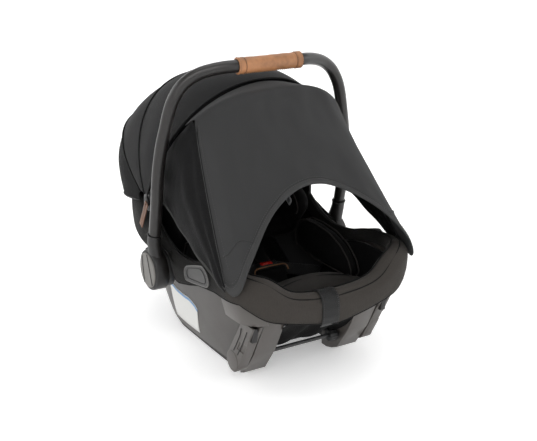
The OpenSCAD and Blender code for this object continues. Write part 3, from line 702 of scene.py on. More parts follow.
cam_data = bpy.data.cameras.new("camera")
cam = bpy.data.objects.new("camera", cam_data)
bpy.context.scene.collection.objects.link(cam)
cam_data.sensor_width = 36
cam_data.lens = LENS
cam_data.clip_end = 30
az, el = radians(CAMERA_AZ), radians(CAMERA_EL)
back = Vector((sin(az) * cos(el), -cos(az) * cos(el), sin(el)))
cam.location = CAMERA_AT
cam.rotation_mode = "QUATERNION"
cam.rotation_quaternion = (-back).to_track_quat("-Z", "Y")
bpy.context.scene.camera = cam


def floor_and_backdrop():
    """A pale floor that curves up into a backdrop all the way round."""
    prof = [(0.0, 0.0), (1.2, 0.0), (2.4, 0.0), (3.4, 0.0), (4.0, 0.05), (4.5, 0.3), (4.8, 0.9), (4.9, 2.0),
            (4.9, 4.5)]
    seg = 64
    verts = [(0, 0, 0)] + [(r * cos(a) * 1000, r * sin(a) * 1000, z * 1000) for r, z in prof[1:]
                           for a in turns(seg)]
    faces = [(0, 1 + k, 1 + (k + 1) % seg) for k in range(seg)]
    for i in range(len(prof) - 2):
        for k in range(seg):
            a, b = 1 + i * seg + k, 1 + i * seg + (k + 1) % seg
            faces.append((a, a + seg, b + seg, b))
    m = Mat("studio_floor", rough=0.75, specular=0.2)
    m.b.inputs["Base Color"].default_value = (0.93, 0.93, 0.93, 1)
    m.b.inputs["Emission Color"].default_value = (1, 1, 1, 1)
    m.b.inputs["Emission Strength"].default_value = 0.34
    ob = new_mesh("studio_floor", verts, faces, m.m, None, None)
    ob.location = (0, 0, -0.0004)


def area(name, loc, target, size, power):
    """A square area light, aimed at a point."""
    data = bpy.data.lights.new(name, "AREA")
    data.energy, data.size = power, size
    ob = bpy.data.objects.new(name, data)
    bpy.context.scene.collection.objects.link(ob)
    ob.location = loc
    d = Vector(target) - Vector(loc)
    ob.rotation_mode = "QUATERNION"
    ob.rotation_quaternion = d.to_track_quat("-Z", "Y")


floor_and_backdrop()
area("key", (-1.6, -1.9, 2.6), (0, 0, 0.3), 1.6, 24)
area("top", (0.2, 0.2, 3.0), (0, 0, 0.3), 2.4, 30)
area("fill", (2.4, -1.2, 1.4), (0, 0, 0.3), 1.6, 10)
area("back_left", (-2.0, 1.6, 1.8), (0, 0, 0.4), 1.2, 9)
view = bpy.context.scene.view_settings
view.view_transform, view.look, view.exposure, view.gamma = "Standard", "None", 0.0, 1.0
world = bpy.data.worlds.new("studio")
bpy.context.scene.world = world
world.use_nodes = True
background = world.node_tree.nodes["Background"]
background.inputs["Color"].default_value = (1, 1, 1, 1)
background.inputs["Strength"].default_value = 0.30


# ---------------------------------------------------------------- canopy
def gore_rows(a0, a1, na, nx, billow, wrinkle, seed):
    """A panel between two bows: it sags between them and is a little uneven."""
    rows = []
    for u in steps(na):
        a = lerp(a0, a1, u)
        row = []
        for v in steps(nx):
            across = lerp(2, 178, v)
            puff = billow * sin(pi * u) * sin(radians(across)) ** 0.6
            p = arch(a, across, -puff)
            c = Vector(p) - Vector((p[0] * 0.2, CANOPY_Y, CANOPY_Z))
            w = wob(p, 0.013, wrinkle, seed) * sin(pi * u)
            row.append(tuple(Vector(p) + c.normalized() * w))
        rows.append(row)
    return rows


def sheet_facts(rows):
    """Widest row, run along the middle, and true area of a sheet of points, in metres."""
    def run(pts):
        return sum((Vector(q) - Vector(p)).length for p, q in zip(pts, pts[1:]))
    wide = max(run(r) for r in rows) * MM
    tall = max(run([r[j] for r in rows]) for j in range(0, len(rows[0]), 4)) * MM
    total = 0.0
    for a, b in zip(rows, rows[1:]):
        for j in range(len(a) - 1):
            p, q, r, s = Vector(a[j]), Vector(a[j + 1]), Vector(b[j + 1]), Vector(b[j])
            total += ((r - p).cross(s - q)).length / 2
    return wide, tall, total * 1e-6


def cloth_sheet(name, rows, mat, body, slot, stands_for, t=2.2, held="stretched", rests=(), offset=-1.0):
    """A thick, baked sheet through rows of points; its flat size is measured but not used."""
    ob = grid(name, rows, mat, body, slot, stands_for)
    wide, tall, surface = sheet_facts(rows)
    thick(ob, t, offset)
    sub(ob)
    bake(ob)
    smooth_shade(ob)
    return ob


gf_ob = cloth_sheet("canopy_front_panel", gore_rows(FRONT_A, MID_A - 0.4, 18, 60, -1.5, 3.0, 3), M["canopy"],
                    None,
                    "canopy_cloth", ("canopy_gore_front",), rests=("canopy_bow_front", "canopy_bow_mid"))
gr_ob = cloth_sheet("canopy_rear_panel", gore_rows(MID_A + 0.4, REAR_A - 0.4, 12, 60, -1.0, 2.5, 9),
                    M["canopy"], None,
                    "canopy_cloth", ("canopy_gore_rear",), rests=("canopy_bow_mid", "canopy_bow_rear"))
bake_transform(gf_ob)
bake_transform(gr_ob)


# middle, width and depth of each upright fold, in degrees across and millimetres
FOLDS = ((128, 5.5, 7), (141, 5, -4), (96, 8, 3.5), (70, 7, 4), (46, 6, 6))


def bag_rows():
    """The bag behind the rear seam, with an upright fold and a loose lower edge."""
    rows = []
    for u in steps(24):
        a = lerp(REAR_A + 0.4, HEM_A, u)
        row = []
        for v in steps(60):
            across = lerp(2, 178, v)
            fold = 0.0
            for mid, width, depth in FOLDS:
                fold += depth * exp(-((across - mid) / width) ** 2) * sin(pi * min(1, u * 1.1)) ** 0.7
            puff = 5 * sin(pi * u) * sin(radians(across)) ** 0.5
            row.append(arch(a, across, -puff + fold * 0.8 + wob((across * 4, u * 200, 0), 0.02, 3)))
        rows.append(row)
    return rows


cloth_sheet("canopy_back_bag", bag_rows(), M["bag"], "shell", "canopy_cloth", ("canopy_back",),
            held="gathered",
            rests=("canopy_bow_rear", "outer_shell"))

for name, a, body in (("seam_piping_mid", MID_A, "canopy_mid"), ("seam_piping_rear", REAR_A, "shell")):
    tube(name, arch_line(a, -0.6), 1.9, M["piping"], body, "canopy_cloth")
    for da, end in ((-2.1, "a"), (2.1, "b")):
        stitches(f"{name}_stitch_{end}", arch_line(a + da, -0.35, 6), M["thread_dark"], body, "canopy_cloth")
FRONT_CLOTH = ("canopy_front", "canopy_cloth")
tube("front_edge_piping", arch_line(FRONT_A + 0.3, 0.2), 1.7, M["canopy"], *FRONT_CLOTH)
tube("back_hem_binding", arch_line(HEM_A, 1.0, 3, 70), 2.4, M["binding"], "shell", "canopy_cloth", flat=0.6)
# painted shadow: a black strip inside the front edge, for the shadow gap under it
thick(grid("front_edge_facing", [arch_line(a, 4.2, 3, 60) for a in (FRONT_A - 1.6, FRONT_A + 1, FRONT_A + 5)],
           M["lining"], *FRONT_CLOTH), 1.0)

# ---------------------------------------------------------------- front drape
US = [0.07, 0.14, 0.21, 0.28, 0.35, 0.42, 0.49, 0.55, 0.61, 0.67, 0.73, 0.785, 0.84, 0.87, 0.90, 0.92, 0.94,
      0.955, 0.97, 0.978, 0.986, 0.993, 1]
US = [-u for u in reversed(US)] + [0] + US  # shares across the drape, closer together near its sides
ND = len(US) - 1
TUCK = 0.12  # share of the drape that is tucked under the canopy


def drape_row(v):
    """One row across the drape: v is 0 at the tuck under the canopy, 1 at the hem."""
    row = []
    for u in US:
        top = DRAPE_TOP * u
        tuck = arch_x(lerp(63.9, TUCK_A, min(1, abs(u) * 1.2)), top * 0.98, lerp(2.5, 5, abs(u)))
        crease, foot = arch_x(CREASE_A, top), drape_foot(u)
        if v < TUCK:
            p = mixp(tuck, crease, v / TUCK)
        else:
            w = (v - TUCK) / (1 - TUCK)
            p = addp(mixp(crease, foot, w), (0, DRAPE_SAG * 4 * w * (1 - w), 0))
            calm = sin(pi * w) * min(1, 6 * (1 - abs(u)))
            uneven = wob((top * 2, w * 160, 0), 0.022, 5.5, 5) * min(1, 8 * (1 - w)) * min(1,
                                                                                           7 * (1 - abs(u)))
            p = addp(p, (0, 2.4 * calm + uneven, 0))
            # a soft horizontal roll just below the canopy's edge
            bump = exp(-((w - 0.05) / 0.05) ** 2)
            p = addp(p, (0, -3.0 * bump, 1.5 * bump))
        row.append(p)
    return row


vs = [0, 0.04, 0.08, 0.115, 0.14, 0.17, 0.2, 0.24] + [0.24 + 0.76 * k / 26 for k in range(1, 27)]
dr = [drape_row(v) for v in vs]
cloth_sheet("front_drape", dr, M["drape"], *FRONT_CLOTH, ("canopy_drape",), t=2.0,
            rests=("canopy_bow_front", "rim_cover"))


def outward(i, rows, j, lift):
    """Point of a sheet of rows, lifted off it towards the foot end."""
    a = Vector(rows[min(i + 1, len(rows) - 1)][j]) - Vector(rows[max(i - 1, 0)][j])
    b = Vector(rows[i][min(j + 1, len(rows[i]) - 1)]) - Vector(rows[i][max(j - 1, 0)])
    n = a.cross(b)
    if n.y > 0:
        n = -n
    return tuple(Vector(rows[i][j]) + n.normalized() * lift)


last = len(dr) - 1


def drape_band(up, lift):
    """A line across the drape, at share up from the hem and lifted off the cloth."""
    above, here = drape_row(1 - up - 0.02), drape_row(1 - up)
    out = []
    for j in range(ND + 1):
        p = Vector(here[j])
        n = (Vector(above[j]) - p).cross(Vector(here[min(j + 1, ND)]) - Vector(here[max(j - 1, 0)]))
        out.append(tuple(p + (-n if n.y > 0 else n).normalized() * lift))
    return out


HEM_BAND = ((0, -1.2), (0, 1.5), (0.018, 2.1), (0.040, 1.9), (0.046, 0.5))
hem_ob = grid("drape_hem_binding", [drape_band(up, lift) for up, lift in HEM_BAND], M["binding"],
              *FRONT_CLOTH)
thick(hem_ob, 0.8)
sub(hem_ob)
bake(hem_ob)
for up, lift in ((0.036, 2.4), (0.058, 0.6)):
    stitches(f"drape_hem_stitch_{int(up * 1000)}", drape_band(up, lift), M["thread"], *FRONT_CLOTH, length=3,
             gap=1.8,
             r=0.3)
# side seams of the drape
for side, j, inside in (("l", 0, 3), ("r", ND, ND - 3)):
    tube(f"drape_side_welt_{side}", [outward(i, dr, j, 0.6) for i in range(4, last)], 1.0, M["binding"],
         *FRONT_CLOTH,
         sides=8)
    stitches(f"drape_side_stitch_{side}", [outward(i, dr, inside, 0.5) for i in range(5, last - 3)],
             M["thread"],
             *FRONT_CLOTH, length=3, gap=1.8, r=0.3)


# corner pockets: a small curved seam across each lower corner
for side, tag in ((-1, "l"), (1, "r")):
    pts = []
    for t in steps(12):
        u = side * lerp(0.985, 0.76, t)
        w = lerp(0.79, 0.965, t) - 0.05 * sin(pi * t)
        row = drape_row(TUCK + (1 - TUCK) * w)
        j = next(i for i in range(1, ND + 1) if US[i] >= u)
        p = mixp(row[j - 1], row[j], (u - US[j - 1]) / (US[j] - US[j - 1]))
        pts.append((p[0] + side * 0.2, p[1] - 0.5, p[2] + 0.2))
    tube(f"drape_pocket_seam_{tag}", pts, 0.9, M["binding"], *FRONT_CLOTH, sides=8)

# ---------------------------------------------------------------- side mesh panels
NET_LOW = [[202, 30, 334], [203, -20, 312], [203.4, -82, 285], [203.4, -140, 261], [203.4, -200, 237],
           [203, -238, 224], [202.6, -266, 218]]
NET_CREASE = (197, 184, DRAPE_TOP + 3)  # X where the first three columns meet the crease
NET_SEAM = [0, 0, 0.03, 0.27, 0.52, 0.76, 0.97]  # share down the drape's side where the others meet it
NET_SWELL = [3, 7, 18, 17, 9, 3, 0]
NET_MAX_X = 205.2


def net_seam(v):
    """The drape's own side edge, a little inside it, so the net is caught under the drape."""
    bump = exp(-((v - 0.05) / 0.05) ** 2)
    return addp(mixp(arch_x(CREASE_A, DRAPE_TOP), drape_foot(1), v),
                (-1.4, DRAPE_SAG * 4 * v * (1 - v) - 2.0 - 3.0 * bump, 1.5 * bump))


tops = [arch_x(CREASE_A, x) for x in NET_CREASE]


def net_rows(side):
    rows = []
    for k in range(49):
        x = 6 * k / 48
        low = catmull(NET_LOW, x)
        if x <= 2:
            i = int(min(x, 1))
            top = mixp(tops[i], tops[i + 1], x - i)
        else:
            top = net_seam(catmull([[v] for v in NET_SEAM], x)[0])
        swell = catmull([[v] for v in NET_SWELL], x)[0]
        row = []
        for w in steps(24):
            s = 4 * w * (1 - w) * swell
            p = addp(mixp(low, top, w), (0.85 * s, -0.1 * s, 0.5 * s))
            # slack gathers that fan out from the lower front corner
            g = sin(15 * w + 2.4 * x) * 1.5 * sin(pi * w) * min(1, x / 2)
            calm = min(1, 5 * (1 - w))
            p = addp(p, (g + calm * (wob((x * 34, w * 80, 0), 0.03, 4.5) - 1.0), 0,
                         calm * wob((x * 30, w * 60, 9), 0.03, 2)))
            row.append((side * min(p[0], NET_MAX_X), p[1], p[2]))
        rows.append(row)
    return rows


for side, tag in ((-1, "l"), (1, "r")):
    rows = net_rows(side)
    cloth_sheet(f"side_net_{tag}", rows, M["mesh"], "canopy_front", "mesh_cloth", (f"side_mesh_{tag}",),
                t=1.4,
                rests=("canopy_bow_front",), offset=0.0)
    strip = [[(r[0][0] + side * dx * 0.8, r[0][1] - 0.15 * dz, r[0][2] + dz * 0.9) for r in rows]
             for dz, dx in ((0, 1.2), (4.5, 1.6), (8.5, 1.3), (9.2, -0.4))]
    so = grid(f"side_net_binding_{tag}", strip, M["net_binding"], "canopy_front", "mesh_cloth")
    thick(so, 0.8)
    sub(so)
    bake(so)

# the drape and the nets each get a copy of their mesh of their own
for ob in bpy.data.objects:
    if ob.name.startswith(("front_drape", "drape_", "side_net_")):
        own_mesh(ob)

# ---------------------------------------------------------------- padded cover on the rim
COVER_STEPS = 168
COVER = ("shell", "cover_cloth")


def cover_section(s):
    """Closed section of the cover at s round the rim: from the hem over the crest, then back as the lining."""
    at = rim_point(s)
    x0, y0 = at(0)
    low, high, roll = hem_at(x0, y0), crest_at(x0, y0), roll_at(y0)
    puff = 1.4 * sin(s * 47) * 0.25 + wob((x0, y0, 0), 0.02, 1.2, 2)
    skin = [(8.5, low), (5.0, low + 1), (2.2, low + 6), (0.8 - puff, lerp(low, high, 0.30)),
            (0.2 - puff, lerp(low, high, 0.5)), (0.6 - puff, lerp(low, high, 0.68)), (3.2, high - 16),
            (6.5, high - 9.5), (11.5, high - 3.6), (roll / 2, high - 0.2), (roll - 11, high - 3),
            (roll - 5, high - 9),
            (roll - 1.2, high - 17), (roll, high - 26)]
    lining = [(roll - 5, high - 26), (roll - 11, high - 15), (roll / 2, high - 8), (14, high - 14),
              (9, high - 26),
              (6.4, lerp(low, high, 0.5)), (8, low + 9), (12.5, low + 1)]
    return [(*at(inset), z) for inset, z in skin + lining]


cover_rows = [cover_section(2 * k / COVER_STEPS) for k in range(COVER_STEPS)]
cover = grid("rim_cover_skin", cover_rows, M["cover"], *COVER, ("rim_cover",), close_u=True, close_v=True)
sub(cover)


def cover_line(share, lift, n, start=0.0, end=2.0):
    """A line on the cover's outer face, at the height share that share(x) gives, up from the hem."""
    pts = []
    for t in steps(n):
        at = rim_point(lerp(start, end, t) % 2)
        x0, y0 = at(0)
        frac = share(x0)
        inset = lookup(frac,
                       [[0, 8], [0.1, 2.4], [0.3, 0.8], [0.5, 0.2], [0.68, 0.6], [0.82, 5], [0.9, 11.5],
                        [1, 18]])
        pts.append((*at(inset - lift), lerp(hem_at(x0, y0), crest_at(x0, y0), frac)))
    return pts


def front_seam(x):
    """The piped seam round the foot end, just below the crest, which it crosses at the corners."""
    return smooth_lookup(abs(x), [[0, 0.86], [60, 0.865], [110, 0.885], [150, 0.92], [185, 0.97], [200, 1.0]])


tube("cover_front_piping", cover_line(front_seam, 0.5, 130, -0.26, 0.26), 1.2, M["piping"], *COVER)
tube("cover_hem_piping", cover_line(lambda x: 0.055, 0.4, 200), 1.5, M["piping"], *COVER)
stitches("cover_hem_stitch", cover_line(lambda x: 0.12, 0.5, 200), M["thread_dark"], *COVER, length=3.2,
         gap=2.0,
         r=0.35)


def cover_inner_line(share_in, dz, n):
    """A line on the roll, at a share of its width and a step above the crest's height."""
    pts = []
    for t in steps(n):
        at = rim_point(lerp(0.0, 2.0, t) % 2)
        x0, y0 = at(0)
        pts.append((*at(roll_at(y0) * share_in), crest_at(x0, y0) + dz))
    return pts


tube("cover_crest_piping", cover_inner_line(0.74, -2.0, 200), 1.4, M["piping"], *COVER)

# ---------------------------------------------------------------- moulded shell
SHELL = ("shell", "shell_plastic")


def shell_run(n):
    """(side, c) once round the shell, from the left front corner round the back to the right one."""
    return [(-1, c) for c in steps(n)] + [(1, c) for c in reversed(steps(n))]


# the back's middle column is shared, so the right side starts one step on
around = [sc for k, sc in enumerate(shell_run(72)) if k != 73]
shell = grid("shell_moulding", [[shell_point(c, s, 0.0, side) for s in steps(26)] for side, c in around],
             M["shell"],
             *SHELL, ("outer_shell",))
thick(shell, 3.6)
bevel(shell, 0.8, 50)


def shell_line(s, out):
    """A line round the shell at height share s."""
    return [shell_point(c, s, out, side) for side, c in shell_run(90)]


tube("shell_base_bead", shell_line(0.012, 0.3), 1.3, M["shell"], *SHELL)
# painted shade: a dark line for the groove round the shell's base
tube("shell_base_groove", shell_line(0.05, 0.05), 0.5, M["groove_shade"], *SHELL, sides=8)

# label on each side: a plain white film with a blue band along its edge
LABEL_REAR, LABEL_FRONT, LABEL_LOW, LABEL_TOP = 0.395, 0.215, 0.16, 0.60
for side, tag in ((-1, "l"), (1, "r")):
    film, band = [], []
    for i in range(15):
        c = lerp(LABEL_REAR, LABEL_FRONT, i / 14)
        top = LABEL_TOP - 0.10 * max(0, (i - 9) / 5) ** 2
        film.append([shell_point(c, lerp(LABEL_LOW, top, t), 0.7, side) for t in steps(12)])
        band.append([shell_point(c, lerp(top - 0.045, top - 0.012, t), 1.0, side) for t in steps(2)])
    thick(grid(f"side_label_{tag}", film, M["label"], "shell", "label_film", ("side_labels",) if side < 0
               else ()), 0.3)
    thick(grid(f"side_label_band_{tag}", band, M["label_blue"], "shell", "label_film"), 0.2)

# ---------------------------------------------------------------- handle
HANDLE_HALF = 219.0
LEG = [(219, 0, 78.6), (218.6, 0, 150), (217.6, 4, 190), (214.5, 9, 222), (208.5, 15, 262), (200, 19, 301),
       (194.5, 22, 325), (186.5, 25, 349), (173, 27, 372), (157, 26, 388), (136, 22, 401), (112, 14, 410),
       (90, 6, 415.5), (72, 0, 418), (30, 0, 418)]
corners = LEG + [(-x, y, z) for x, y, z in reversed(LEG)]
path = respace([catmull(corners, (len(corners) - 1) * t) for t in steps(232)], 9)
tube("handle_bar", [handle_pt(*p) for p in path], 12.0, M["tube"], "handle", "handle_metal", sides=40,
     stands_for=("handle_tube",))

# leather sleeve: a wrapped hide with a lap seam under it and a stitched, raised band at each end
GRIP_Z, GRIP_HALF = 418.0, 71.0
GRIP = ("handle", "leather")
GRIP_STITCH = dict(length=2.6, gap=1.7, r=0.45)


def around_grip(x, r, angles):
    return [handle_pt(x, r * cos(a), GRIP_Z + r * sin(a)) for a in angles]


sleeve = []
for t in steps(60):
    x = lerp(-GRIP_HALF, GRIP_HALF, t)
    e = min(abs(x + GRIP_HALF), abs(x - GRIP_HALF))
    r = 15.2 + (0.9 if e < 13 else 0) + 0.25 * sin(x * 0.23) - 2.6 * max(0, 1 - e / 1.6) ** 2
    if 13 <= e < 15:
        r -= 0.5
    row = []
    for a in turns(48):
        rr = r + 0.5 * exp(-((a - 4.6) / 0.12) ** 2) + wob((x, 30 * cos(a), 30 * sin(a)), 0.05,
                                                                0.35)
        row += around_grip(x, rr, (a,))
    sleeve.append(row)
thick(grid("grip_leather", sleeve, M["leather"], *GRIP, ("leather_grip",), close_v=True), 2.0)
for x in (-GRIP_HALF + 13.6, GRIP_HALF - 13.6, -GRIP_HALF + 2.6, GRIP_HALF - 2.6):
    stitches(f"grip_stitch_{int(x + 80)}", around_grip(x, 16.35, turns(48) + [2 * pi]), M["tan"], *GRIP,
             **GRIP_STITCH)
for x in (-GRIP_HALF + 15.2, GRIP_HALF - 15.2):
    tube(f"grip_groove_{int(x + 80)}", around_grip(x, 15.1, turns(48)), 0.55, M["leather_dark"], *GRIP,
         sides=6,
         closed=True)
stitches("grip_lap_stitch", [around_grip(lerp(-55, 55, t), 15.6, (4.25,))[0] for t in steps(40)], M["tan"],
         *GRIP,
         **GRIP_STITCH)

# hubs
HUB = ("handle", "black_plastic")
BARREL = [(200.6, 8.4), (200.6, 40.6), (201.8, 42.0), (214, 42.0), (224.5, 41.9), (227.2, 40.6),
          (228.0, 38.6),
          (228.0, 37.2), (226.4, 36.6), (226.2, 8.4)]
CAP = [(226.6, 35.8), (229.2, 35.9), (230.4, 35.0), (230.9, 32.8), (231.0, 28.0), (231.0, 0.01)]
for side, tag in ((-1, "l"), (1, "r")):
    lathe(f"hub_barrel_{tag}", BARREL, M["hub"], *HUB, side, 72, handle_pt, (f"handle_socket_{tag}",))
    lathe(f"hub_face_{tag}", CAP, M["cap"], "handle", "cap_plastic", side, 72, handle_pt, (f"hub_cap_{tag}",))
    # neck from the barrel up to the tube
    neck = []
    for t in steps(14):
        rx, ry = lerp(13.2, 13.6, t), lerp(25, 13.6, min(1, t * 1.25) ** 0.55)
        neck.append([handle_pt(side * (lerp(214.3, HANDLE_HALF, min(1, t * 1.4)) + rx * cos(a)),
                               ry * sin(a),
                               lerp(26, 79.5, t)) for a in turns(48)])
    grid(f"hub_neck_{tag}", neck, M["hub"], *HUB, close_v=True)
    # joint ring at the top of the neck
    ring = [handle_pt(side * HANDLE_HALF + 13.5 * cos(a), 13.5 * sin(a),
                      79.0 + 1.6 * side * cos(a))
            for a in turns(40)]
    tube(f"neck_ring_{tag}", ring, 1.3, M["joint"], *HUB, closed=True)
    # diagonal groove and chord recess on the face, drawn as dark lines of painted shade
    for name, off, tilt, half_l in (("groove", 13.0, 32, 31.5), ("chord", -19.0, 20, 28.0)):
        dy, dz = sin(radians(tilt)), cos(radians(tilt))
        pts = [handle_pt(side * 230.95, -off * dz + t * dy, off * dy + t * dz)
               for t in (lerp(-half_l, half_l, q) for q in steps(14))]
        tube(f"hub_{name}_{tag}", pts, 1.1, M["groove_shade"], "handle", "cap_plastic", sides=8)
    tube(f"hub_shadow_{tag}",
         [handle_pt(side * 228.3, 36.8 * cos(a), 36.8 * sin(a)) for a in turns(72)], 0.9,
         M["groove_shade"], *HUB, sides=8, closed=True)

# ---------------------------------------------------------------- front legs and latch arms
ARM = ("anchor_arms", "arm_plastic")
ARM_Y, ARM_Z = -205.0, 46.0
ARM_FACE = 156.4
GROOVES = {"a": [(-262, 128), (-250, 106), (-234, 80), (-224, 66)],
           "b": [(-241, 128), (-236, 112), (-222, 88), (-210, 70)]}
for side, tag in ((-1, "l"), (1, "r")):
    x = side * ARM_FACE
    # groove lines on the arm's face and the line round its boss, dark lines of painted shade, and the cap of
    # its boss
    for end, line in GROOVES.items():
        tube(f"arm_groove_{end}_{tag}", respace([(x, y, z) for y, z in line], 3), 0.9, M["groove_shade"], *ARM,
             sides=8)
    smile = [(x, ARM_Y + 16 * cos(a), ARM_Z + 16 * sin(a))
             for a in map(radians, range(200, 345, 6))]
    tube(f"arm_boss_line_{tag}", smile, 0.8, M["groove_shade"], *ARM, sides=8)
    lathe(f"arm_boss_cap_{tag}", [(156.0, 21.4), (156.9, 20.8), (157.3, 19.4), (157.5, 0.01)], M["arm"], *ARM,
          side, 56,
          lambda x, y, z: (x, ARM_Y + y, ARM_Z + z))

# ---------------------------------------------------------------- seat: tub-following pads
def shell_room(y, z):
    """Half the room inside the shell at a depth and a height."""
    low = shell_floor(y)
    s = min(1, max(0.02, (z - low) / (crest_side(y) - shell_drop(y) - low)))
    w = s ** lookup(y, [[60, 0.62], [290, 1.3]])
    top = lookup(y, [[-290, 155], [-243, 161], [-200, 166], [-150, 172], [-100, 179], [-57, 186]])
    start, reach = lerp(100, REAR_Y, w), lerp(90, REAR_REACH - SHELL_INSET, w)
    share = 1 if y < start else squircle((y - start) / (reach - 7), REAR_POWER)
    return max(8, lerp(BOTTOM_HALF, top, w) * share - WALL - 1.5)


def tub_point(y, across, depth):
    """A point inside the tub, depth off its wall: across is 0 at the right rim and 180 at the left one."""
    rim_z = crest_side(y) - 25
    drop = max(6, rim_z - tub_floor(y))
    c, s = cos(radians(across)), max(0, sin(radians(across)))
    z = rim_z - (drop - depth) * s ** (2 / BUCKET_POWER)
    x = (half_width(y, TUB_INSET) - depth) * abs(c) ** (2 / BUCKET_POWER)
    return (sgn(c) * min(x, shell_room(y, z) - depth), y, z)


SEAT = ("shell", "seat_cloth")


def closed_pad(name, top, bottom, mat, stands_for, inflate):
    """A pad from two matching grids of points, joined round the edge, and swelled."""
    n, k = len(top), len(top[0])
    faces, off = [], n * k
    for a, b, c, d in ((i * k + j, i * k + j + 1, (i + 1) * k + j + 1, (i + 1) * k + j)
                       for i in range(n - 1) for j in range(k - 1)):
        faces += [(a, b, c, d), (off + d, off + c, off + b, off + a)]
    loop = [j for j in range(k)] + [i * k + k - 1 for i in range(1, n)] + \
           [(n - 1) * k + j for j in range(k - 2, -1, -1)] + [i * k for i in range(n - 2, 0, -1)]
    faces += [(q, p, off + p, off + q) for p, q in zip(loop, loop[1:] + loop[:1])]
    ob = new_mesh(name, flatten(top) + flatten(bottom), faces, mat, *SEAT, stands_for)
    puff_up(ob, **inflate)


def puff_up(ob, voxel, pressure, cap):
    """Swells a pad with a short cloth simulation, caps how far each point moves, and keeps the result."""
    frames = 20
    scene = bpy.context.scene
    rm = ob.modifiers.new("remesh", "REMESH")
    rm.mode, rm.voxel_size = "VOXEL", voxel * MM
    bake(ob)
    rest = [v.co.copy() for v in ob.data.vertices]
    cl = ob.modifiers.new("cloth", "CLOTH")
    st = cl.settings
    st.quality = 6
    st.mass = 0.3
    st.tension_stiffness = st.compression_stiffness = 12
    st.shear_stiffness = 6
    st.bending_stiffness = 2.0
    st.use_pressure = True
    st.uniform_pressure_force = pressure
    st.effector_weights.gravity = 0
    cl.collision_settings.use_collision = False
    cl.point_cache.frame_start, cl.point_cache.frame_end = 1, frames
    for f in range(1, frames + 1):
        scene.frame_set(f)
    bake(ob)
    scene.frame_set(1)
    for v, r in zip(ob.data.vertices, rest):
        d = v.co - r
        if d.length > cap * MM:
            v.co = r + d * (cap * MM / d.length)
    smooth_shade(ob)
    sub(ob)
    bake(ob)
    smooth_shade(ob)


def edge_share(u):
    """Rises from 0 to 1 over the outer sixth of a pad."""
    return min(1, 6 * min(u, 1 - u)) ** 0.5


def layer_pair(y0, y1, a0, a1, d_low, d_top, ny, na, rise=((0, 0), (1, 0))):
    """Top and bottom of a pad that follows the tub, between two depths off its wall."""
    top, bottom = [], []
    for v in steps(ny):
        y = lerp(y0, y1, v)
        rt, rb = [], []
        for u in steps(na):
            across = lerp(a0, a1, u)
            edge = edge_share(u) * edge_share(v)
            d = lerp(d_low + 4, d_top, edge) + CROWN * sin(pi * u) * sin(pi * v)
            d += smooth_lookup(y, rise) * sin(pi * u) ** 0.6 * edge
            rt.append(tub_point(y, across, d))
            rb.append(tub_point(y, across, d_low))
        top.append(rt)
        bottom.append(rb)
    return top, bottom


CROWN = 2.5
RISE = [[-261, 4], [-248, 19], [-225, 41], [-205, 46], [-188, 38], [-165, 16], [-140, 4]]
PUFF = dict(voxel=5, pressure=3.0, cap=5)
closed_pad("seat_cushion", *layer_pair(-260, -74, 40, 140, 13, 33, 34, 34, RISE), M["seat_b"], ("seat_pad",),
           PUFF)
closed_pad("back_cushion", *layer_pair(-58, 163, 52, 128, 13, 31, 30, 26), M["seat"], ("back_pad",), PUFF)

# channels on the back cushion and piping across the seat's front
for k, y in enumerate((-20, 20, 60, 100, 140)):
    line = [addp(tub_point(y, lerp(56, 124, t), 33.4 + 2.2 * sin(pi * t)), (0, 0, 0.4))
            for t in steps(24)]
    tube(f"back_channel_{k}", line, 1.1, M["piping"], *SEAT, sides=8)


def seat_top(y, u, lift):
    """A point on the seat cushion's top face, at share u across it."""
    return tub_point(y, lerp(40, 140, u), 33 + smooth_lookup(y, RISE) * sin(pi * u) ** 0.6
                     + CROWN * sin(pi * u) + lift)


tube("seat_front_piping",
     [seat_top(-234 + 8 * sin(pi * t), lerp(0.12, 0.88, t), 1.6) for t in steps(30)],
     1.4, M["piping"], *SEAT, sides=8)
tube("seat_centre_seam", [seat_top(lerp(-196, -120, t), 0.5, 1.2) for t in steps(16)], 0.9, M["piping"],
     *SEAT, sides=8)

# lining: a dark cloth that covers the tub wall between the rim roll and the pads
lin = [[tub_point(lerp(-288, 268, u), lerp(0, 180, v), 3.6) for v in steps(40)] for u in steps(60)]
thick(grid("tub_lining", lin, M["lining"], *SEAT), 1.2)

# bolsters at the hips
BO = [[20, 186], [8, 214], [-18, 226], [-60, 228], [-110, 223], [-150, 209], [-180, 186], [-192, 164],
      [-186, 152],
      [-60, 150], [10, 158]]


# share of the outline, and share of half the thickness, from the rim of a pillow to the middle of its face
PILLOW = [(1.0, 0.0), (0.995, 0.45), (0.965, 0.78), (0.90, 0.96), (0.78, 1.04), (0.5, 1.12), (0.2, 1.15)]


def rounded_slab(name, outline, x0, x1, side, mat, stands_for, inflate):
    """A pillow from an outline in the Y-Z plane between two X values, crowned on both faces. Gives its rim."""
    cy = sum(p[0] for p in outline) / len(outline)
    cz = sum(p[1] for p in outline) / len(outline)
    closed = respace([(y, z, 0) for y, z in outline + [outline[0]]], 9)[:-1]
    mid, half = (x0 + x1) / 2, (x1 - x0) / 2
    rows = [[(side * (mid + half * h * 0.88), cy + (y - cy) * r, cz + (z - cz) * r) for y, z, _ in closed]
            for r, h in [(r, -h) for r, h in reversed(PILLOW)] + PILLOW[1:]]
    n, k = len(rows), len(rows[0])
    faces = quads(n, k) + [tuple(range(k)), tuple((n - 1) * k + j for j in range(k - 1, -1, -1))]
    ob = new_mesh(name, flatten(rows), faces, mat, *SEAT, stands_for)
    puff_up(ob, **inflate)
    return [(side * mid, cy + (y - cy) * 1.012, cz + (z - cz) * 1.012) for y, z, _ in closed]


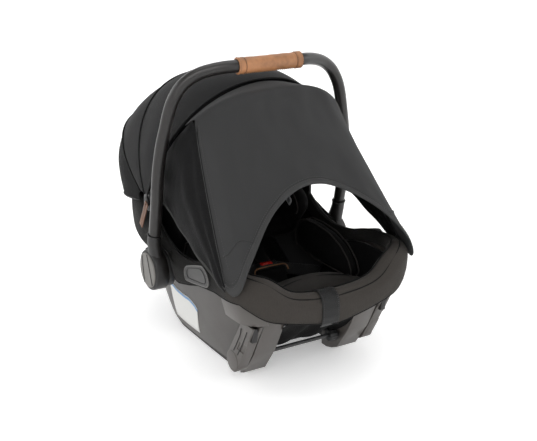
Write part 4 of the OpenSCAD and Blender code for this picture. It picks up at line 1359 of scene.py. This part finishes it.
for side, tag in ((-1, "l"), (1, "r")):
    rim = rounded_slab(f"hip_cushion_{tag}", BO, 122.5, 145.5, side, M["seat"], (f"hip_bolster_{tag}",),
                       dict(voxel=5, pressure=3, cap=4))
    for k, dx in enumerate((-9.5, 9.5)):
        tube(f"hip_piping_{tag}_{k}", [(p[0] + dx, p[1], p[2]) for p in rim], 1.5, M["seat_b"], *SEAT,
             sides=8,
             closed=True)

# headrest: a padded back and two wings in one U-shaped cushion
HL, HW, HT, HH = 112.0, 147.0, 30.0, 114.0  # its length, half width, wing thickness and wing reach
HEAD_UP, HEAD_OUT = 24, 47  # where it starts on the back, and how far out it stands
HEAD = ("head_support", "seat_cloth")


def headrest():
    """A U section with rounded edges: it runs from one wing's tip round to the other's and back inside."""
    outer = [(-HW, HH), (-HW, 60), (-HW, 14), (-HW + 8, 2), (-HW + 24, 0), (-60, 0), (0, 0), (60, 0),
             (HW - 24, 0),
             (HW - 8, 2), (HW, 14), (HW, 60), (HW, HH)]
    inner = [(-HW + HT, HH), (-HW + HT, 66), (-HW + HT, 36), (-HW + HT + 8, 25), (-HW + HT + 22, 21),
             (-60, 20), (0, 20),
             (60, 20), (HW - HT - 22, 21), (HW - HT - 8, 25), (HW - HT, 36), (HW - HT, 66), (HW - HT, HH)]
    mids = [((a[0] + b[0]) / 2, (a[1] + b[1]) / 2) for a, b in zip(outer, inner)]
    rows = []
    for v in steps(22):
        y = HEAD_UP + lerp(1, HL - 1, v)
        e = min(1, 5.5 * min(v, 1 - v))
        f = sqrt(max(0.0, 1 - (1 - e) ** 2)) * 0.9 + 0.1
        # wings are shorter at their two corners
        cut = 30 * (1 - sqrt(max(0, 1 - max(0, 1 - min(v, 1 - v) * HL / 30) ** 2)))
        row = []
        for face, tip in ((list(zip(outer, mids)), mids[-1]), (list(zip(inner, mids))[::-1], mids[0])):
            for (x, z), (mx, mz) in face:
                row.append(back_pt(mx + (x - mx) * f, y, HEAD_OUT + min(mz + (z - mz) * f, HH - cut - 4)))
            row.append(back_pt(tip[0], y, HEAD_OUT + HH - cut + 1))
        rows.append(row)
    n, k = len(rows), len(rows[0])
    faces = quads(n, k)
    half = 13
    for base, flip in ((0, False), ((n - 1) * k, True)):
        ends = [(base + j, base + j + 1, base + 2 * half - 1 - j, base + 2 * half - j)
                for j in range(half - 1)]
        ends += [(base, base + 2 * half, base + 2 * half + 1),
                 (base + half - 1, base + half, base + half + 1)]
        faces += [q[::-1] if flip else q for q in ends]
    ob = new_mesh("headrest_cushion", flatten(rows), faces, M["seat"], *HEAD, ("headrest",))
    puff_up(ob, voxel=5.5, pressure=3, cap=4)


headrest()
BADGE = (57, 142)
for side, tag in ((-1, "l"), (1, "r")):
    edge = []
    for a in (pi * t for t in steps(24)):
        edge.append(back_pt(side * (HW - HT + 1.0), HEAD_UP + HL / 2 - (HL / 2 - 2) * cos(a),
                            HEAD_OUT + HH - 30 + 28 * sin(a) ** 0.6))
    tube(f"wing_piping_{tag}", edge, 1.5, M["seat_b"], *HEAD, sides=8)
    # plain rounded badge on the inner face of the wing
    for name, size, x, mat in (("badge", 10.0, HW - HT - 5.8, "emblem"),
                               ("badge_inner", 5.6, HW - HT - 6.4, "emblem_dark")):
        verts = []
        for lift, share in ((0, 1), (0.5, 0.92)):
            for a in turns(32):
                r = size / max(abs(cos(a)) ** 4 + abs(sin(a)) ** 4, 1e-6) ** 0.25 * share
                verts.append(back_pt(side * (x - lift), BADGE[0] + r * cos(a),
                                     BADGE[1] + r * sin(a)))
        verts.append(back_pt(side * (x - 0.5), *BADGE))
        faces = quads(2, 32) + [(32 + q, 32 + (q + 1) % 32, 64) for q in range(32)]
        new_mesh(f"wing_{name}_{tag}", verts, faces, M[mat], *HEAD)

# ---------------------------------------------------------------- harness
WEB = ("shell", "webbing")


def ribbon(name, pts, width, t, mat, stands_for=(), across=(1, 0, 0)):
    """Flat webbing along a path, with rounded selvedges."""
    P = [Vector(p) for p in pts]
    A = Vector(across)
    rows = []
    for i, p in enumerate(P):
        tg = (P[min(i + 1, len(P) - 1)] - P[max(i - 1, 0)]).normalized()
        ac = (A - tg * A.dot(tg)).normalized()
        nn = tg.cross(ac).normalized()
        row = []
        for cx, cy in ((cos(a), sin(a)) for a in turns(16)):
            row.append(tuple(p + ac * (width / 2 * sgn(cx) * abs(cx) ** 0.35)
                             + nn * (t / 2 * sgn(cy) * abs(cy) ** 0.6)))
        rows.append(row)
    k, n = 16, len(rows)
    faces = quads(n, k) + [tuple(range(k)), tuple((n - 1) * k + j for j in range(k - 1, -1, -1))]
    new_mesh(name, flatten(rows), faces, mat, *WEB, stands_for)


def end_share(m):
    """Thickness of a pad at m from its nearest end: it rounds off over the last fifth."""
    return sqrt(max(0, 1 - max(0, 1 - 5 * m) ** 2)) * 0.85 + 0.15


def one_side(side, pts, step):
    """A path given for the right side, mirrored if need be and evenly spaced."""
    return respace([(side * x, y, z) for x, y, z in pts], step)


BREAST = [(42, -42, 117), (38, -44.5, 126), (31, -49, 139), (22, -53, 152), (15, -55.5, 160)]
SHOULDER = [(42, 58, 155), (42, 30, 137), (42, 0, 123), (42, -32, 114)]
OVER_PAD = [(42, -28, 122), (42, 0, 130.5), (42, 30, 145), (42, 62, 165), (42, 80, 172)]
LAP = [(19, -64, 156), (50, -68, 146), (85, -76, 138), (112, -82, 133), (121, -84, 128)]
for side, tag in ((-1, "l"), (1, "r")):
    ribbon(f"harness_strap_{tag}", one_side(side, BREAST, 4), 24, 1.9, M["web"], (f"shoulder_strap_{tag}",))
    R = one_side(side, SHOULDER, 6)
    top, bottom = [], []
    for i, p in enumerate(R):
        v = i / (len(R) - 1)
        tg = (Vector(R[min(i + 1, len(R) - 1)]) - Vector(R[max(i - 1, 0)])).normalized()
        nn = tg.cross(Vector((1, 0, 0))).normalized()
        if nn.z < 0:
            nn = -nn
        e = end_share(min(v, 1 - v))
        rt, rb = [], []
        for u in (lerp(-1, 1, t) for t in steps(12)):
            w = sqrt(max(0, 1 - abs(u) ** 4))
            at = Vector((p[0] + 21 * u * (0.9 + 0.1 * e), p[1], p[2]))
            rt.append(tuple(at + nn * (6.0 * e * w)))
            rb.append(tuple(at - nn * (5.0 * e * w)))
        top.append(rt)
        bottom.append(rb)
    closed_pad(f"shoulder_cushion_{tag}", top, bottom, M["seat_b"], (f"shoulder_pad_{tag}",),
               dict(voxel=4, pressure=3, cap=3))
    for k, u in enumerate((-0.82, 0.82)):
        tube(f"shoulder_piping_{tag}_{k}",
             [addp((p[0] + 21 * u, p[1], p[2]), (0, 1.5, 4.2)) for p in R[1:-1]], 1.0,
             M["piping"], *SEAT, sides=8)
    # webbing that lies over each shoulder pad and goes into the back, and webbing from the buckle to the hips
    ribbon(f"harness_upper_{tag}", one_side(side, OVER_PAD, 5), 25, 1.8, M["web"])
    ribbon(f"lap_strap_{tag}", one_side(side, LAP, 5), 24, 1.8, M["web"], across=(0, 0.5, 0.85))

# crotch pad: rounded, with tan piping along its upper edges
top, bottom = [], []
for v in steps(14):
    y, z, w = lerp(-107.5, -83.8, v), lerp(118.5, 163.5, v), lerp(32, 38.5, v)
    e = end_share(min(v + 0.08, 1.0 - v))
    lift = [(u, 5.6 * e * sqrt(max(0, 1 - abs(u) ** 5))) for u in (lerp(-1, 1, t) for t in steps(14))]
    top.append([(w * u, y - h, z) for u, h in lift])
    bottom.append([(w * u, y + h, z) for u, h in lift])
closed_pad("crotch_cushion", top, bottom, M["seat"], ("crotch_pad",), dict(voxel=4, pressure=3, cap=2.5))
edge_path = [(-39.2, -90.5, 154), (-38.6, -87.5, 160), (-36, -85.4, 164), (-30, -84.2, 166),
             (0, -83.8, 166.6),
             (30, -84.2, 166), (36, -85.4, 164), (38.6, -87.5, 160), (39.2, -90.5, 154)]
tube("crotch_tan_piping", respace(edge_path, 4), 1.5, M["tan"], "shell", "leather")

# webbing over the front of the rim, from the adjuster
def over_rim():
    high = smooth_lookup(30, CREST_FRONT)
    low = smooth_lookup(20, HEM_FRONT)
    face = [(6.5, low), (1.2, low + 7), (-1.0, lerp(low, high, 0.3)), (-1.4, lerp(low, high, 0.55)),
            (0.8, high - 15),
            (5.0, high - 7.0), (11, high - 1.2), (21, high + 2.2), (32, high - 1.6), (39, high - 9),
            (43.5, high - 20)]
    return respace([(-20.0, FRONT_Y - FRONT_REACH + inset, z) for inset, z in face], 3)


ribbon("adjuster_webbing", over_rim(), 38, 1.7, M["web_grey"], ("adjuster_strap",))
for k, dx in enumerate((-15.5, 15.5)):
    stitches(f"adjuster_stitch_{k}", [(p[0] + dx, p[1] - 0.9, p[2] + 0.6) for p in over_rim()], M["thread"],
             *WEB,
             length=2.4, gap=1.4, r=0.3)

# painted shade: a black sheet that closes the shaded space under the seat, behind the two front legs
shade_sheet = []
for v in steps(18):
    wave = sin(pi * v)
    shade_sheet.append([(lerp(-86, 86, j / 30), lerp(-286, -152, v) + 5 * wave * sin(0.55 * j + 2 * v),
                   lerp(136, 34, v) - 16 * wave + 4 * wave * cos(0.5 * j)) for j in range(31)])
cloth_sheet("under_skirt", shade_sheet, M["lining"], *SEAT, (), t=1.0, held="hung", rests=("base_plate",))

# ---------------------------------------------------------------- belt guides
GO = [[-118, 189], [-185, 201], [-198, 206], [-202, 216], [-194, 230], [-184, 236], [-171, 237], [-120, 220],
      [-106, 211], [-103, 200], [-107, 191]]


GUIDE = ("shell", "guide_plastic")


def plate(name, outline, x0, x1, side, mat, stands_for):
    """A plate from an outline in the Y-Z plane, with its outer edge rounded over."""
    cy = sum(p[0] for p in outline) / len(outline)
    cz = sum(p[1] for p in outline) / len(outline)
    k = len(outline)
    verts = []
    for x, r in ((x0, 1.0), (lerp(x0, x1, 0.75), 1.0), (x1, 0.97), (x1, 0.97 * 0.9)):
        verts += [(side * x, cy + (p[0] - cy) * r, cz + (p[1] - cz) * r) for p in outline]
    verts.append((side * x1, cy, cz))
    faces = quads(4, k) + [(3 * k + j, 3 * k + (j + 1) % k, 4 * k) for j in range(k)]
    new_mesh(name, verts, faces, mat, *GUIDE, stands_for)


gl = smooth_loop(GO, 4)
for side, tag in ((-1, "l"), (1, "r")):
    plate(f"guide_plate_{tag}", gl, 199.0, 202.6, side, M["guide"], (f"belt_guide_{tag}",))
    tube(f"guide_lip_{tag}", [(side * 202.4, y, z) for y, z in gl], 1.2, M["guide_lip"], *GUIDE, sides=8,
         closed=True)
    # painted shade: a dark line inside the guide's edge
    line = [(side * 203.0, -152 + (y + 152) * 0.78, 213 + (z - 213) * 0.70) for y, z in gl]
    tube(f"guide_inner_line_{tag}", line, 0.7, M["groove_shade"], *GUIDE, sides=8, closed=True)

# ---------------------------------------------------------------- carried-over CAD nodes: materials and edges
def dress(node, mat, w):
    ob = NODES[node]
    ob.data.materials.clear()
    ob.data.materials.append(M[mat])
    ob.modifiers.new("weld", "WELD").merge_threshold = 0.00002
    bevel(ob, w, 35)
    smooth_shade(ob)


for tag in ("l", "r"):
    # the legs and latch arms take the lighter arm plastic, which paints light onto them
    for node, mat, w in (("front_leg", "arm", 1.6), ("anchor_arm", "arm", 1.6), ("anchor_jaw", "hub", 0.6),
                         ("rocker_rail", "black", 1.0), ("hub_flange", "black", 0.8),
                         ("hub_pin", "steel", 0.5),
                         ("handle_button", "joint", 0.8), ("canopy_mount", "black", 0.6)):
        dress(f"{node}_{tag}", mat, w)
for node, mat, w in (("seat_tub", "black", 0.3), ("foam_liner", "foam", 0.5), ("base_plate", "black", 0.8),
                     ("cross_shaft", "wire", 0.4), ("arm_release_knob", "black", 0.5),
                     ("dock_bar_front", "steel", 0.4),
                     ("dock_bar_rear", "steel", 0.4), ("rear_lever", "black", 1.2),
                     ("rear_lever_bracket", "black", 0.8),
                     ("canopy_bow_front", "wire", 0.2), ("canopy_bow_mid", "wire", 0.2),
                     ("canopy_bow_rear", "wire", 0.2),
                     ("pull_tab", "leather_dark", 0.4), ("buckle", "black", 1.6),
                     ("buckle_button", "red", 1.4),
                     ("adjuster_button", "joint", 0.8)):
    dress(node, mat, w)

stitches("pull_tab_stitch",
         [(-206.6, 60 + 5.2 * cos(radians(30)) + 0.5 * q, 286 - 0.87 * q) for q in range(0, 56, 3)],
         M["tan"], "shell", "leather", length=2.2, gap=1.5, r=0.35)
